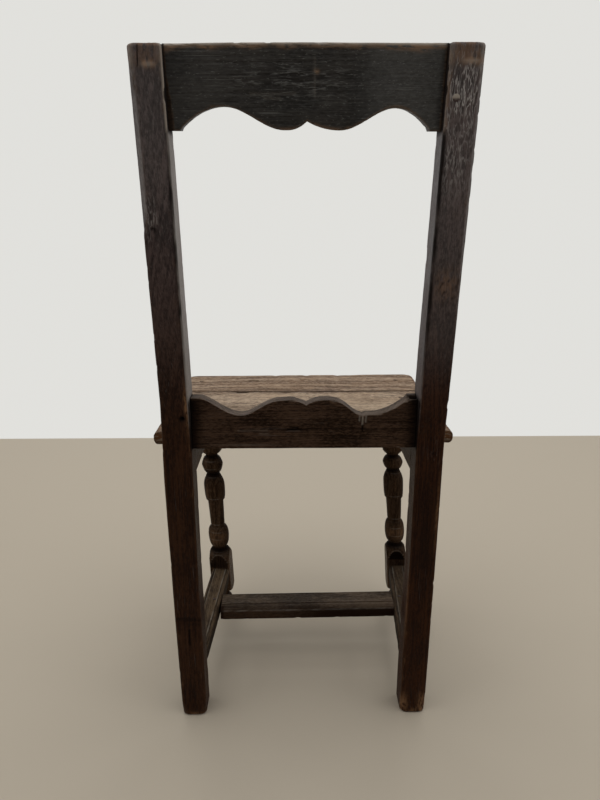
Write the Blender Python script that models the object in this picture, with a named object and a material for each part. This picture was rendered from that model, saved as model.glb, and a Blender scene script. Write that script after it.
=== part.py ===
# Provincial side chair in oak: a pegged mortise and tenon frame under a plank seat.
# Metres, +Z up. The sitter faces -Y, so the back is at +Y and the sitter's left is +X.
# The origin is on the floor, in the middle of the chair's width and depth.

import math

import bmesh
import bpy
from mathutils import Matrix, Vector

# Clearances
GAP = 0.0003
BOARD_GAP = 0.0006

# Rear posts
POST_HEIGHT = 0.8962
POST_WIDTH = 0.0366
POST_DEPTH = 0.036
POST_CHAMFER = 0.003
POST_BEND_SETBACK = 0.0077
POST_TOP_SETBACK = 0.0583

# Plank seat
SEAT_HEIGHT = 0.4463
SEAT_THICKNESS = 0.018
SEAT_WIDTH = 0.404
SEAT_REACH = 0.3239
SEAT_CORNER = 0.022
SEAT_EDGE_ROUND = 0.006
FRONT_BOARD_WIDTH = 0.1035
EAR_WIDTH = 0.0176
EAR_OVERLAP = 0.0115
CORNER_STEPS = 6
EDGE_STEPS = 3

# Crest rail, between the tops of the posts
CREST_HEIGHT = 0.0856
CREST_THICKNESS = 0.020
CREST_SET_IN = 0.010
CREST_FLAT = 0.0123
CREST_HOLLOW_AT = {"left": 0.0885, "right": 0.0985}
CREST_HOLLOW_RISE = 0.0242
CREST_LOBE_AT = {"left": 0.0228, "right": 0.0375}
CREST_LOBE_RISE = 0.0010
CREST_CUSP_OFFSET = 0.0017
CREST_CUSP_RISE = 0.010
CREST_PEG_AT = 0.0522

# Back rail, standing above the rear edge of the seat
BACK_RAIL_HEIGHT = 0.0692
BACK_RAIL_THICKNESS = 0.0214
BACK_RAIL_SET_IN = 0.0088
BACK_RAIL_DROP = 0.0012
BACK_FLAT = {"left": 0.0135, "right": 0.0115}
BACK_HOLLOW_AT = {"left": 0.0822, "right": 0.0885}
BACK_HOLLOW_DIP = 0.0237
BACK_LOBE_AT = {"left": 0.0215, "right": 0.0262}
BACK_LOBE_DIP = 0.0034
BACK_CUSP_OFFSET = 0.0028
BACK_CUSP_DIP = 0.0102
BACK_PEG_AT = 0.042

# Rails under the seat
SIDE_RAIL_HEIGHT = 0.043
SIDE_RAIL_THICKNESS = 0.021
FRONT_RAIL_HEIGHT = 0.070
FRONT_RAIL_THICKNESS = 0.020
FRONT_RAIL_SET_IN = 0.003
FRONT_FLAT = 0.016
FRONT_HOLLOW_AT = {"left": 0.088, "right": 0.088}
FRONT_HOLLOW_RISE = 0.024
FRONT_LOBE_AT = {"left": 0.026, "right": 0.026}
FRONT_LOBE_RISE = 0.0013
FRONT_CUSP_OFFSET = 0.0
FRONT_CUSP_RISE = 0.010
CURVE_STEPS = 6
LOBE_ROUNDNESS_RATIO = 2.3
SHOULDER_FULLNESS_RATIO = 0.25

# Turned front legs, which have leaned over to the sitter's right
LEG_STOCK = 0.036
LEG_INSET = 0.040
LEG_SETBACK = 0.0299
LEG_LEAN_RATIO = {"left": 0.045, "right": 0.065}
LEG_UPRIGHT_AT = 0.369
LEG_SIDES = 24
TURNING_STEPS = 4
SHARP_ANGLE = math.radians(35)

# Turning of the legs: heights from the floor, which differ as no two legs were turned alike, and radii
FOOT_RADIUS = 0.0140
BUN_HEIGHT = 0.014
BUN_RADIUS = 0.0166
ANKLE_LOW = 0.029
ANKLE_HIGH = 0.039
NECK_RADIUS = 0.0106
LOW_BLOCK_BOTTOM = 0.055
LOW_BLOCK_TOP = {"left": 0.0945, "right": 0.1010}
LOW_NECK_BOTTOM = {"left": 0.1245, "right": 0.1335}
LOW_NECK_TOP = {"left": 0.1290, "right": 0.1380}
LOW_BALL = {"left": 0.1530, "right": 0.1610}
BALL_RADIUS = 0.0179
COLUMN_BOTTOM = {"left": 0.1695, "right": 0.1825}
COLUMN_BOTTOM_RADIUS = 0.0114
COLUMN_TOP = {"left": 0.2205, "right": 0.2300}
COLUMN_TOP_RADIUS = 0.0140
FILLET_RADIUS = 0.0158
VASE_BELLY = {"left": 0.2485, "right": 0.2590}
HIGH_NECK = {"left": 0.2800, "right": 0.2850}
HIGH_BALL = {"left": 0.2965, "right": 0.2995}
TOP_NECK_BOTTOM = {"left": 0.3105, "right": 0.3120}
TOP_NECK_TOP = {"left": 0.3145, "right": 0.3160}
TOP_BLOCK_BOTTOM = 0.350

# Flat stretchers: those at the sides rise from the posts to the legs, and the middle one tilts
STRETCHER_TOP = 0.080
STRETCHER_RISE = {"left": 0.013, "right": 0.016}
SIDE_STRETCHER_WIDTH = 0.032
SIDE_STRETCHER_THICKNESS = 0.024
MIDDLE_STRETCHER_TOP = {"left": 0.0826, "right": 0.0860}
MIDDLE_STRETCHER_WIDTH = 0.0493
MIDDLE_STRETCHER_THICKNESS = 0.020
MIDDLE_STRETCHER_SETBACK = 0.1689
STRETCHER_MOULDING = 0.004

# Tenons
TENON_THICKNESS = 0.008
TENON_SHOULDER = 0.006
TENON_ROOT = 0.004
BACK_TENON = 0.022
CREST_TENON = 0.023
SIDE_TENON = 0.022
FRONT_TENON = 0.018
LEG_TENON = 0.014
FOOT_TENON = 0.020
STRETCHER_SHOULDER = 0.002
MIDDLE_TENON = 0.018
MIDDLE_SHOULDER = 0.010
MIDDLE_TENON_RATIO = 0.4

# Pegs, whittled to eight sides
PEG_RADIUS = 0.0045
SEAT_PEG_RADIUS = 0.004
SMALL_PEG_RADIUS = 0.0035
PEG_SIDES = 8
PEG_PROUD = 0.0006
PEG_PAST = 0.0035
FRONT_PEG_PAST = 0.0015
PEG_SET_BACK = 0.011
LEG_PEG_SET_BACK = 0.008
SEAT_PEG_DEPTH = 0.020
SEAT_PEG_OFFSET = 0.008
SEAT_PEG_SETBACKS = {"rear": 0.075, "middle": 0.180}
DRILL_RUN_OUT = 0.005

# Finishes seen on the real chair
DARK_OAK = (0.030, 0.020, 0.015)
BLACK_OAK = (0.016, 0.013, 0.012)
SEAT_OAK = (0.110, 0.078, 0.058)
PEG_OAK = (0.045, 0.028, 0.018)
FRAME_ROUGHNESS = 0.48
SEAT_ROUGHNESS = 0.72
PEG_ROUGHNESS = 0.55

SIDES = {"left": 1, "right": -1}
BODY = {}

# Sizes worked out from those above
FOOT_REAR = (SEAT_REACH - POST_BEND_SETBACK - POST_TOP_SETBACK) / 2
RAKE = math.atan2(POST_TOP_SETBACK, POST_HEIGHT - SEAT_HEIGHT)
SEAT_UNDER = SEAT_HEIGHT - SEAT_THICKNESS
SEAT_FRONT = FOOT_REAR - SEAT_REACH
SEAM = SEAT_FRONT + FRONT_BOARD_WIDTH
POST_OUTER = SEAT_WIDTH / 2 - EAR_WIDTH
POST_INNER = POST_OUTER - POST_WIDTH
RAIL_TOP = SEAT_UNDER - GAP
LEG_OUT = SEAT_WIDTH / 2 - LEG_INSET
LEG_FRONT = SEAT_FRONT + LEG_SETBACK
LEG_AXIS = LEG_FRONT + LEG_STOCK / 2
LEG_REAR = LEG_FRONT + LEG_STOCK
BLOCK_RADIUS = LEG_STOCK / math.sqrt(2) / math.cos(math.pi / LEG_SIDES) + GAP
SIDE_RAIL_MIDDLE = POST_INNER + SIDE_RAIL_THICKNESS / 2
STRETCHER_MIDDLE = STRETCHER_TOP - SIDE_STRETCHER_THICKNESS / 2
MIDDLE_AXIS = FOOT_REAR - MIDDLE_STRETCHER_SETBACK
MIDDLE_TENON_HEIGHT = min(MIDDLE_STRETCHER_TOP.values()) - MIDDLE_STRETCHER_THICKNESS * MIDDLE_TENON_RATIO


def post_rear(z):
    if z < SEAT_HEIGHT:
        return FOOT_REAR + POST_BEND_SETBACK * z / SEAT_HEIGHT
    above_bend = (z - SEAT_HEIGHT) / (POST_HEIGHT - SEAT_HEIGHT)
    return FOOT_REAR + POST_BEND_SETBACK + POST_TOP_SETBACK * above_bend


def post_front(z):
    return post_rear(z) - POST_DEPTH


def leg_middle(side, z):
    return SIDES[side] * LEG_OUT + LEG_LEAN_RATIO[side] * (z - LEG_UPRIGHT_AT)


# The raked part of the back has a frame of its own: X across, Y out of the rear face, Z up the slope.
RAKED = Matrix.Translation((0, post_rear(POST_HEIGHT), POST_HEIGHT)) @ Matrix.Rotation(-RAKE, 4, "X")
LEVEL = Matrix.Identity(4)


def loft(rings):
    # A closed body through rings that have as many points each.
    shape = bmesh.new()
    loops = [[shape.verts.new(point) for point in ring] for ring in rings]
    for low, high in zip(loops, loops[1:]):
        for index in range(len(low)):
            after = (index + 1) % len(low)
            shape.faces.new((low[index], low[after], high[after], high[index]))
    shape.faces.new(reversed(loops[0]))
    shape.faces.new(loops[-1])
    bmesh.ops.recalc_face_normals(shape, faces=shape.faces)
    return shape


def box(low, high):
    corners = [(low[0], low[1]), (high[0], low[1]), (high[0], high[1]), (low[0], high[1])]
    return loft([[(x, y, z) for x, y in corners] for z in (low[2], high[2])])


def make_object(name, shape, frame=LEVEL):
    mesh = bpy.data.meshes.new(name)
    shape.to_mesh(mesh)
    shape.free()
    body = bpy.data.objects.new(name, mesh)
    body.matrix_world = frame
    bpy.context.collection.objects.link(body)
    return body


def combine(target, shape, operation, frame=LEVEL):
    # Joins a shape to the target, or cuts it away, and leaves the result as the target's mesh.
    tool = make_object("tool", shape, frame)
    tool.hide_render = True
    tool.display_type = "WIRE"
    boolean = target.modifiers.new("tool", "BOOLEAN")
    boolean.object = tool
    boolean.operation = operation
    boolean.solver = "EXACT"
    evaluated = target.evaluated_get(bpy.context.evaluated_depsgraph_get())
    result = bpy.data.meshes.new_from_object(evaluated)
    target.modifiers.clear()
    worn_out = target.data
    target.data = result
    result.name = target.name
    bpy.data.meshes.remove(worn_out)
    tool_mesh = tool.data
    bpy.data.objects.remove(tool)
    bpy.data.meshes.remove(tool_mesh)


def join(rail, host, low, high, frame=LEVEL):
    # A tenon on the rail, and its mortise in the host.
    combine(rail, box(low, high), "UNION", frame)
    wide_low = [value - GAP for value in low]
    wide_high = [value + GAP for value in high]
    combine(host, box(wide_low, wide_high), "DIFFERENCE", frame)


def tenon_box(start, end, first_axis, first, second_axis, second):
    # Corners of a box along one axis, from start to end, with the ranges given on the other two.
    along = 3 - first_axis - second_axis
    low = [0, 0, 0]
    high = [0, 0, 0]
    for axis, ends in ((along, (start, end)), (first_axis, first), (second_axis, second)):
        low[axis] = min(ends)
        high[axis] = max(ends)
    return low, high


def about(middle, width):
    return (middle - width / 2, middle + width / 2)


def peg(name, entry, direction, length, radius, drilled, frame=LEVEL):
    # A peg driven in at entry, and its hole in each body that it goes through.
    turn = Vector(direction).to_track_quat("Z", "Y").to_matrix().to_4x4()
    place = frame @ Matrix.Translation(entry) @ turn

    def rod(size, start, end):
        angles = [2 * math.pi * (index + 0.5) / PEG_SIDES for index in range(PEG_SIDES)]
        circle = [(size * math.cos(angle), size * math.sin(angle)) for angle in angles]
        return loft([[(x, y, z) for x, y in circle] for z in (start, end)])

    hole_radius = radius + GAP / math.cos(math.pi / PEG_SIDES)
    for body in drilled:
        combine(BODY[body], rod(hole_radius, -DRILL_RUN_OUT, length + GAP), "DIFFERENCE", place)
    BODY[name] = make_object(name, rod(radius, -PEG_PROUD, length), place)


def scallop(cusp, lobe, hollow, end):
    # Half of a scalloped edge, from the middle outwards: each argument is a distance and a height.
    points = [cusp]

    def shoulder(part):
        waved = 1 - math.cos(math.pi / 2 * part)
        round_over = 1 - math.sqrt(1 - part ** 2)
        return waved + (round_over - waved) * SHOULDER_FULLNESS_RATIO

    forms = (
        (cusp, lobe, lambda part: 1 - (1 - part) ** LOBE_ROUNDNESS_RATIO),
        (lobe, hollow, lambda part: (1 - math.cos(math.pi * part)) / 2),
        (hollow, end, shoulder),
    )
    for start, finish, form in forms:
        for step in range(1, CURVE_STEPS + 1):
            part = step / CURVE_STEPS
            across = start[0] + (finish[0] - start[0]) * part
            points.append((across, start[1] + (finish[1] - start[1]) * form(part)))
    return points


def whole_edge(base, rises, offset, lobe_at, hollow_at, end_at):
    # Both halves, whose widths differ a little. The cusp is offset to the sitter's right.
    cusp, lobe, hollow = (base + rise for rise in rises)
    halves = {}
    for side, sign in SIDES.items():
        halves[side] = scallop((-sign * offset, cusp), (lobe_at[side], lobe), (hollow_at[side], hollow),
                               (end_at[side], base))
    return [(-x, z) for x, z in reversed(halves["right"][1:])] + halves["left"]


def board(outline, y_low, y_high):
    return loft([[(x, y, z) for x, z in outline] for y in (y_low, y_high)])


def rear_post(side):
    # The corners of the section are chamfered; the top is cut square to the slope.
    sign = SIDES[side]
    corners = []
    for x, inward in ((POST_OUTER, -1), (POST_INNER, 1)):
        for depth, ahead in ((0, 1), (POST_DEPTH, -1)):
            chamfer = [(x + inward * POST_CHAMFER, depth), (x, depth + ahead * POST_CHAMFER)]
            corners.append(chamfer)
    section = corners[0] + corners[1][::-1] + corners[3] + corners[2][::-1]
    rings = [[(sign * x, post_rear(z) - depth, z) for x, depth in section] for z in (0, SEAT_HEIGHT)]
    top = []
    for x, depth in section:
        z = POST_HEIGHT + depth * math.sin(RAKE) * math.cos(RAKE)
        top.append((sign * x, post_rear(z) - depth, z))
    rings.append(top)
    name = side + "_rear_post"
    BODY[name] = make_object(name, loft(rings))


def bead(low, middle, high):
    # A rounded swelling, from its lower neck over its widest place to its upper neck.
    points = []
    for start, finish in ((low, middle), (high, middle)):
        run = []
        for step in range(TURNING_STEPS + 1):
            turn = math.pi / 2 * step / TURNING_STEPS
            height = start[0] + (finish[0] - start[0]) * (1 - math.cos(turn))
            run.append((height, start[1] + (finish[1] - start[1]) * math.sin(turn)))
        points += run if start is low else run[-2::-1]
    return points


def dome(neck, block):
    # The shoulder between a neck and a square block, part of an ellipse about the leg's axis.
    points = []
    first = math.asin(neck[1] / block[1])
    rise = (neck[0] - block[0]) / math.cos(first)
    for step in range(TURNING_STEPS + 1):
        turn = first + (math.pi / 2 - first) * step / TURNING_STEPS
        points.append((block[0] + rise * math.cos(turn), block[1] * math.sin(turn)))
    return points


def taper(neck, belly):
    # The sloping shoulder of a vase, from its widest place up to the neck.
    points = []
    for step in range(1, TURNING_STEPS + 1):
        part = 1 - step / TURNING_STEPS
        swell = math.sin(math.pi / 2 * part)
        points.append((neck[0] + (belly[0] - neck[0]) * part, neck[1] + (belly[1] - neck[1]) * swell))
    return points


def leg_profile(side):
    neck = NECK_RADIUS
    belly = (VASE_BELLY[side], BALL_RADIUS)
    high_neck = (HIGH_NECK[side], neck)
    points = bead((0, FOOT_RADIUS), (BUN_HEIGHT, BUN_RADIUS), (ANKLE_LOW, neck))
    points += dome((ANKLE_HIGH, neck), (LOW_BLOCK_BOTTOM, BLOCK_RADIUS))
    points += reversed(dome((LOW_NECK_BOTTOM[side], neck), (LOW_BLOCK_TOP[side], BLOCK_RADIUS)))
    points += bead((LOW_NECK_TOP[side], neck), (LOW_BALL[side], BALL_RADIUS),
                   (COLUMN_BOTTOM[side], COLUMN_BOTTOM_RADIUS))
    points += [(COLUMN_TOP[side], COLUMN_TOP_RADIUS)]
    points += bead((COLUMN_TOP[side], FILLET_RADIUS), belly, high_neck)[:TURNING_STEPS + 1]
    points += taper(high_neck, belly)
    points += bead(high_neck, (HIGH_BALL[side], BALL_RADIUS), (TOP_NECK_BOTTOM[side], neck))[1:]
    points += dome((TOP_NECK_TOP[side], neck), (TOP_BLOCK_BOTTOM, BLOCK_RADIUS))
    points += [(RAIL_TOP, BLOCK_RADIUS)]
    return points


def front_leg(side):
    # Turned out of square stock, so that the blocks keep its faces, then leaned to one side.
    angles = [2 * math.pi * (index + 0.5) / LEG_SIDES for index in range(LEG_SIDES)]
    rings = [[(r * math.cos(a), r * math.sin(a), z) for a in angles] for z, r in leg_profile(side)]
    name = side + "_front_leg"
    leg = make_object(name, loft(rings))
    half = LEG_STOCK / 2
    stock = box((-half, -half, -LEG_STOCK), (half, half, RAIL_TOP + LEG_STOCK))
    combine(leg, stock, "INTERSECT")
    for vertex in leg.data.vertices:
        vertex.co.x += leg_middle(side, vertex.co.z)
        vertex.co.y += LEG_AXIS
    leg.data.shade_smooth()
    leg.data.set_sharp_from_angle(angle=SHARP_ANGLE)
    BODY[name] = leg


def crest_rail():
    half = POST_INNER - GAP
    low = -CREST_HEIGHT
    rises = (CREST_CUSP_RISE, CREST_LOBE_RISE, CREST_HOLLOW_RISE)
    ends = dict.fromkeys(SIDES, POST_INNER - CREST_FLAT)
    lower = whole_edge(low, rises, CREST_CUSP_OFFSET, CREST_LOBE_AT, CREST_HOLLOW_AT, ends)
    outline = [(-half, low)] + lower + [(half, low), (half, 0), (-half, 0)]
    face = -CREST_SET_IN
    BODY["crest_rail"] = make_object("crest_rail", board(outline, face - CREST_THICKNESS, face), RAKED)
    thick = about(face - CREST_THICKNESS / 2, TENON_THICKNESS)
    tall = (low + TENON_SHOULDER, -2 * TENON_SHOULDER)
    for side, sign in SIDES.items():
        ends = (sign * (half - TENON_ROOT), sign * (half + CREST_TENON))
        join(BODY["crest_rail"], BODY[side + "_rear_post"], *tenon_box(*ends, 1, thick, 2, tall), RAKED)


def back_rail():
    half = POST_INNER - GAP
    low = SEAT_UNDER + BACK_RAIL_DROP
    high = low + BACK_RAIL_HEIGHT
    rises = (-BACK_CUSP_DIP, -BACK_LOBE_DIP, -BACK_HOLLOW_DIP)
    ends = {side: POST_INNER - flat for side, flat in BACK_FLAT.items()}
    upper = whole_edge(high, rises, BACK_CUSP_OFFSET, BACK_LOBE_AT, BACK_HOLLOW_AT, ends)
    outline = [(-half, high)] + upper + [(half, high), (half, low), (-half, low)]
    rear = post_rear((low + high) / 2) - BACK_RAIL_SET_IN
    BODY["back_rail"] = make_object("back_rail", board(outline, rear - BACK_RAIL_THICKNESS, rear))
    thick = about(rear - BACK_RAIL_THICKNESS / 2, TENON_THICKNESS)
    tall = (low + TENON_SHOULDER, high - TENON_SHOULDER)
    for side, sign in SIDES.items():
        ends = (sign * (half - TENON_ROOT), sign * (half + BACK_TENON))
        join(BODY["back_rail"], BODY[side + "_rear_post"], *tenon_box(*ends, 1, thick, 2, tall))
    return rear - BACK_RAIL_THICKNESS


def side_rail(side):
    sign = SIDES[side]
    low = RAIL_TOP - SIDE_RAIL_HEIGHT
    inner = sign * POST_INNER
    outer = sign * (POST_INNER + SIDE_RAIL_THICKNESS)
    name = side + "_side_rail"
    section = ((inner, low), (outer, low), (outer, RAIL_TOP), (inner, RAIL_TOP))
    ends = [
        [(x, LEG_REAR + GAP, z) for x, z in section],
        [(x, post_front(z) - GAP, z) for x, z in section],
    ]
    BODY[name] = make_object(name, loft(ends))
    thick = about(sign * SIDE_RAIL_MIDDLE, TENON_THICKNESS)
    tall = (low + TENON_SHOULDER, RAIL_TOP - TENON_SHOULDER)
    rear_face = post_front(sum(tall) / 2)
    into_post = (rear_face - TENON_ROOT, rear_face + SIDE_TENON)
    into_leg = (LEG_REAR + TENON_ROOT, LEG_REAR - LEG_TENON)
    join(BODY[name], BODY[side + "_rear_post"], *tenon_box(*into_post, 0, thick, 2, tall))
    join(BODY[name], BODY[side + "_front_leg"], *tenon_box(*into_leg, 0, thick, 2, tall))


def leg_inner(side, z):
    return leg_middle(side, z) - SIDES[side] * LEG_STOCK / 2


def front_rail():
    # Its ends follow the lean of the legs.
    low = RAIL_TOP - FRONT_RAIL_HEIGHT
    rises = (FRONT_CUSP_RISE, FRONT_LOBE_RISE, FRONT_HOLLOW_RISE)
    ends = dict.fromkeys(SIDES, LEG_OUT - LEG_STOCK / 2 - FRONT_FLAT)
    lower = whole_edge(low, rises, FRONT_CUSP_OFFSET, FRONT_LOBE_AT, FRONT_HOLLOW_AT, ends)
    right = [(leg_inner("right", z) + GAP, z) for z in (RAIL_TOP, low)]
    left = [(leg_inner("left", z) - GAP, z) for z in (low, RAIL_TOP)]
    front = LEG_FRONT + FRONT_RAIL_SET_IN
    rail = board(right + lower + left, front, front + FRONT_RAIL_THICKNESS)
    BODY["front_rail"] = make_object("front_rail", rail)
    thick = about(front + FRONT_RAIL_THICKNESS / 2, TENON_THICKNESS)
    tall = (low + 2 * TENON_SHOULDER, RAIL_TOP - TENON_SHOULDER)
    for side, sign in SIDES.items():
        face = leg_inner(side, sum(tall) / 2)
        ends = (face - sign * TENON_ROOT, face + sign * FRONT_TENON)
        join(BODY["front_rail"], BODY[side + "_front_leg"], *tenon_box(*ends, 1, thick, 2, tall))


def stretcher_middle(side, y):
    # The middle line of a side stretcher, from the post to the leaned leg.
    rear = post_front(STRETCHER_MIDDLE)
    rear_x = SIDES[side] * (POST_OUTER - POST_WIDTH / 2)
    part = (rear - y) / (rear - LEG_REAR)
    return rear_x + (leg_middle(side, STRETCHER_MIDDLE + STRETCHER_RISE[side]) - rear_x) * part


def mould_top_edges(shape, top, along):
    # Rounds over the long upper edges, those that run along the given axis.
    edges = []
    for edge in shape.edges:
        first, second = (vertex.co for vertex in edge.verts)
        is_top = min(first.z, second.z) > top - GAP
        if is_top and abs(first[along] - second[along]) > STRETCHER_MOULDING:
            edges.append(edge)
    bmesh.ops.bevel(shape, geom=edges, offset=STRETCHER_MOULDING, segments=EDGE_STEPS, profile=0.5,
                    affect="EDGES")


def side_stretcher(side):
    low = STRETCHER_TOP - SIDE_STRETCHER_THICKNESS
    half = SIDE_STRETCHER_WIDTH / 2
    rings = []
    for at_leg in (True, False):
        ring = []
        for across, z in ((-half, low), (half, low), (half, STRETCHER_TOP), (-half, STRETCHER_TOP)):
            y = LEG_REAR + GAP if at_leg else post_front(z) - GAP
            rise = STRETCHER_RISE[side] if at_leg else 0
            ring.append((stretcher_middle(side, y) + across, y, z + rise))
        rings.append(ring)
    shape = loft(rings)
    mould_top_edges(shape, STRETCHER_TOP, 1)
    name = side + "_side_stretcher"
    BODY[name] = make_object(name, shape)
    hosts = (
        ("_rear_post", post_front(STRETCHER_MIDDLE), SIDE_TENON, 0),
        ("_front_leg", LEG_REAR, -FOOT_TENON, STRETCHER_RISE[side]),
    )
    for host, face, depth, lift in hosts:
        root = TENON_ROOT if depth > 0 else -TENON_ROOT
        thick = about(stretcher_middle(side, face), TENON_THICKNESS)
        tall = (low + STRETCHER_SHOULDER + lift, STRETCHER_TOP - STRETCHER_MOULDING + lift)
        join(BODY[name], BODY[side + host], *tenon_box(face - root, face + depth, 0, thick, 2, tall))


def stretcher_inner(side, y):
    return stretcher_middle(side, y) - SIDES[side] * SIDE_STRETCHER_WIDTH / 2


def middle_stretcher():
    rear, front = (MIDDLE_AXIS + sign * MIDDLE_STRETCHER_WIDTH / 2 for sign in (1, -1))
    plan = [("right", rear), ("left", rear), ("left", front), ("right", front)]
    rings = []
    for down in (MIDDLE_STRETCHER_THICKNESS, 0):
        ring = []
        for side, y in plan:
            ring.append((stretcher_inner(side, y) - SIDES[side] * GAP, y, MIDDLE_STRETCHER_TOP[side] - down))
        rings.append(ring)
    shape = loft(rings)
    mould_top_edges(shape, min(MIDDLE_STRETCHER_TOP.values()), 0)
    BODY["middle_stretcher"] = make_object("middle_stretcher", shape)
    wide = (front + MIDDLE_SHOULDER, rear - MIDDLE_SHOULDER)
    tall = about(MIDDLE_TENON_HEIGHT, TENON_THICKNESS)
    for side, sign in SIDES.items():
        face = stretcher_inner(side, MIDDLE_AXIS)
        ends = (face - sign * TENON_ROOT, face + sign * MIDDLE_TENON)
        join(BODY["middle_stretcher"], BODY[side + "_side_stretcher"], *tenon_box(*ends, 1, wide, 2, tall))


def seat_board(name, outline, is_rounded):
    # A plank, with its upper and lower edges rounded where is_rounded says so of an edge's two ends.
    shape = loft([[(x, y, z) for x, y in outline] for z in (SEAT_UNDER, SEAT_HEIGHT)])
    edges = []
    for edge in shape.edges:
        first, second = (vertex.co for vertex in edge.verts)
        is_level = abs(first.z - second.z) < GAP
        if is_level and is_rounded(first, second):
            edges.append(edge)
    bmesh.ops.bevel(shape, geom=edges, offset=SEAT_EDGE_ROUND, segments=EDGE_STEPS, profile=0.5,
                    affect="EDGES")
    BODY[name] = make_object(name, shape)


def front_seat_board():
    half = SEAT_WIDTH / 2
    rear = SEAM - BOARD_GAP
    corner = []
    for step in range(CORNER_STEPS + 1):
        turn = math.pi / 2 * step / CORNER_STEPS
        x = half - SEAT_CORNER * (1 - math.cos(turn))
        corner.append((x, SEAT_FRONT + SEAT_CORNER * (1 - math.sin(turn))))
    outline = [(half, rear)] + corner + [(-x, y) for x, y in reversed(corner)] + [(-half, rear)]

    def ahead_of_seam(first, second):
        return min(first.y, second.y) < rear - GAP

    seat_board("front_seat_board", outline, ahead_of_seam)


def rear_seat_board(rail_front):
    # Notched round the posts, with an ear beyond each of them.
    half = SEAT_WIDTH / 2
    notch = min(post_front(SEAT_UNDER), post_front(SEAT_HEIGHT)) - GAP
    ear = notch + EAR_OVERLAP
    outer = POST_OUTER + GAP
    inner = POST_INNER - GAP
    rear = rail_front - GAP
    side = [(half, SEAM), (half, ear), (outer, ear), (outer, notch), (inner, notch), (inner, rear)]
    outline = side + [(-x, y) for x, y in reversed(side)]

    def on_the_side(first, second):
        return abs(first.x) > half - GAP and abs(first.x - second.x) < GAP

    seat_board("rear_seat_board", outline, on_the_side)


def crest_and_back_pegs(side):
    sign = SIDES[side]
    post = side + "_rear_post"
    across = sign * (POST_INNER + PEG_SET_BACK)
    length = CREST_SET_IN + (CREST_THICKNESS + TENON_THICKNESS) / 2 + PEG_PAST
    peg(side + "_crest_peg", (across, 0, -CREST_PEG_AT), (0, -1, 0), length, PEG_RADIUS,
        (post, "crest_rail"), RAKED)
    height = SEAT_UNDER + BACK_RAIL_DROP + BACK_PEG_AT
    length = BACK_RAIL_SET_IN + (BACK_RAIL_THICKNESS + TENON_THICKNESS) / 2 + PEG_PAST
    peg(side + "_back_rail_peg", (across, post_rear(height), height), (0, -1, 0), length, PEG_RADIUS,
        (post, "back_rail"))


def side_pegs(side):
    # Pegs driven in from the outside, through the tenons of the side rails and side stretchers.
    sign = SIDES[side]
    inward = (-sign, 0, 0)
    rail = side + "_side_rail"
    stretcher = side + "_side_stretcher"
    post = side + "_rear_post"
    leg = side + "_front_leg"
    rail_height = RAIL_TOP - SIDE_RAIL_HEIGHT / 2
    stretcher_height = STRETCHER_MIDDLE - (STRETCHER_MOULDING - STRETCHER_SHOULDER) / 2
    past = TENON_THICKNESS / 2 + PEG_PAST
    rail_end = SIDE_RAIL_MIDDLE - past
    rear_stretcher_end = abs(stretcher_middle(side, post_front(STRETCHER_MIDDLE))) - past
    front_stretcher_end = abs(stretcher_middle(side, LEG_REAR)) - past

    def drive(name, height, y, face, end, radius, drilled):
        peg(side + name, (sign * face, y, height), inward, face - end, radius, drilled)

    drive("_side_rail_rear_peg", rail_height, post_front(rail_height) + PEG_SET_BACK, POST_OUTER,
          rail_end, PEG_RADIUS, (post, rail))
    drive("_stretcher_rear_peg", stretcher_height, post_front(stretcher_height) + PEG_SET_BACK, POST_OUTER,
          rear_stretcher_end, SMALL_PEG_RADIUS, (post, stretcher))
    leg_face = abs(leg_middle(side, rail_height)) + LEG_STOCK / 2
    drive("_side_rail_front_peg", rail_height, LEG_REAR - LEG_PEG_SET_BACK, leg_face,
          rail_end, SEAT_PEG_RADIUS, (leg, rail))
    leg_height = stretcher_height + STRETCHER_RISE[side]
    foot_face = abs(leg_middle(side, leg_height)) + LEG_STOCK / 2
    drive("_stretcher_front_peg", leg_height, LEG_REAR - PEG_SET_BACK, foot_face,
          front_stretcher_end, SMALL_PEG_RADIUS, (leg, stretcher))


def front_rail_peg(side):
    height = RAIL_TOP - (FRONT_RAIL_HEIGHT - TENON_SHOULDER) / 2
    across = leg_inner(side, height) + SIDES[side] * PEG_SET_BACK
    length = FRONT_RAIL_SET_IN + (FRONT_RAIL_THICKNESS + TENON_THICKNESS) / 2 + FRONT_PEG_PAST
    peg(side + "_front_rail_peg", (across, LEG_FRONT, height), (0, 1, 0), length, SEAT_PEG_RADIUS,
        (side + "_front_leg", "front_rail"))


def middle_stretcher_peg(side):
    across = stretcher_inner(side, MIDDLE_AXIS) + SIDES[side] * PEG_SET_BACK
    rear = post_front(STRETCHER_MIDDLE)
    top = STRETCHER_TOP + STRETCHER_RISE[side] * (rear - MIDDLE_AXIS) / (rear - LEG_REAR)
    length = top - MIDDLE_TENON_HEIGHT + TENON_THICKNESS / 2 + FRONT_PEG_PAST
    peg(side + "_middle_stretcher_peg", (across, MIDDLE_AXIS, top), (0, 0, -1), length,
        SMALL_PEG_RADIUS, (side + "_side_stretcher", "middle_stretcher"))


def seat_pegs(side):
    sign = SIDES[side]
    length = SEAT_THICKNESS + SEAT_PEG_DEPTH
    leg_x = leg_middle(side, SEAT_UNDER) + sign * SEAT_PEG_OFFSET
    peg(side + "_front_seat_peg", (leg_x, LEG_AXIS - SEAT_PEG_OFFSET, SEAT_HEIGHT), (0, 0, -1), length,
        SEAT_PEG_RADIUS, ("front_seat_board", side + "_front_leg"))
    for place, setback in SEAT_PEG_SETBACKS.items():
        peg(side + "_" + place + "_seat_peg", (sign * SIDE_RAIL_MIDDLE, FOOT_REAR - setback, SEAT_HEIGHT),
            (0, 0, -1), length, SEAT_PEG_RADIUS, ("rear_seat_board", side + "_side_rail"))


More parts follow.
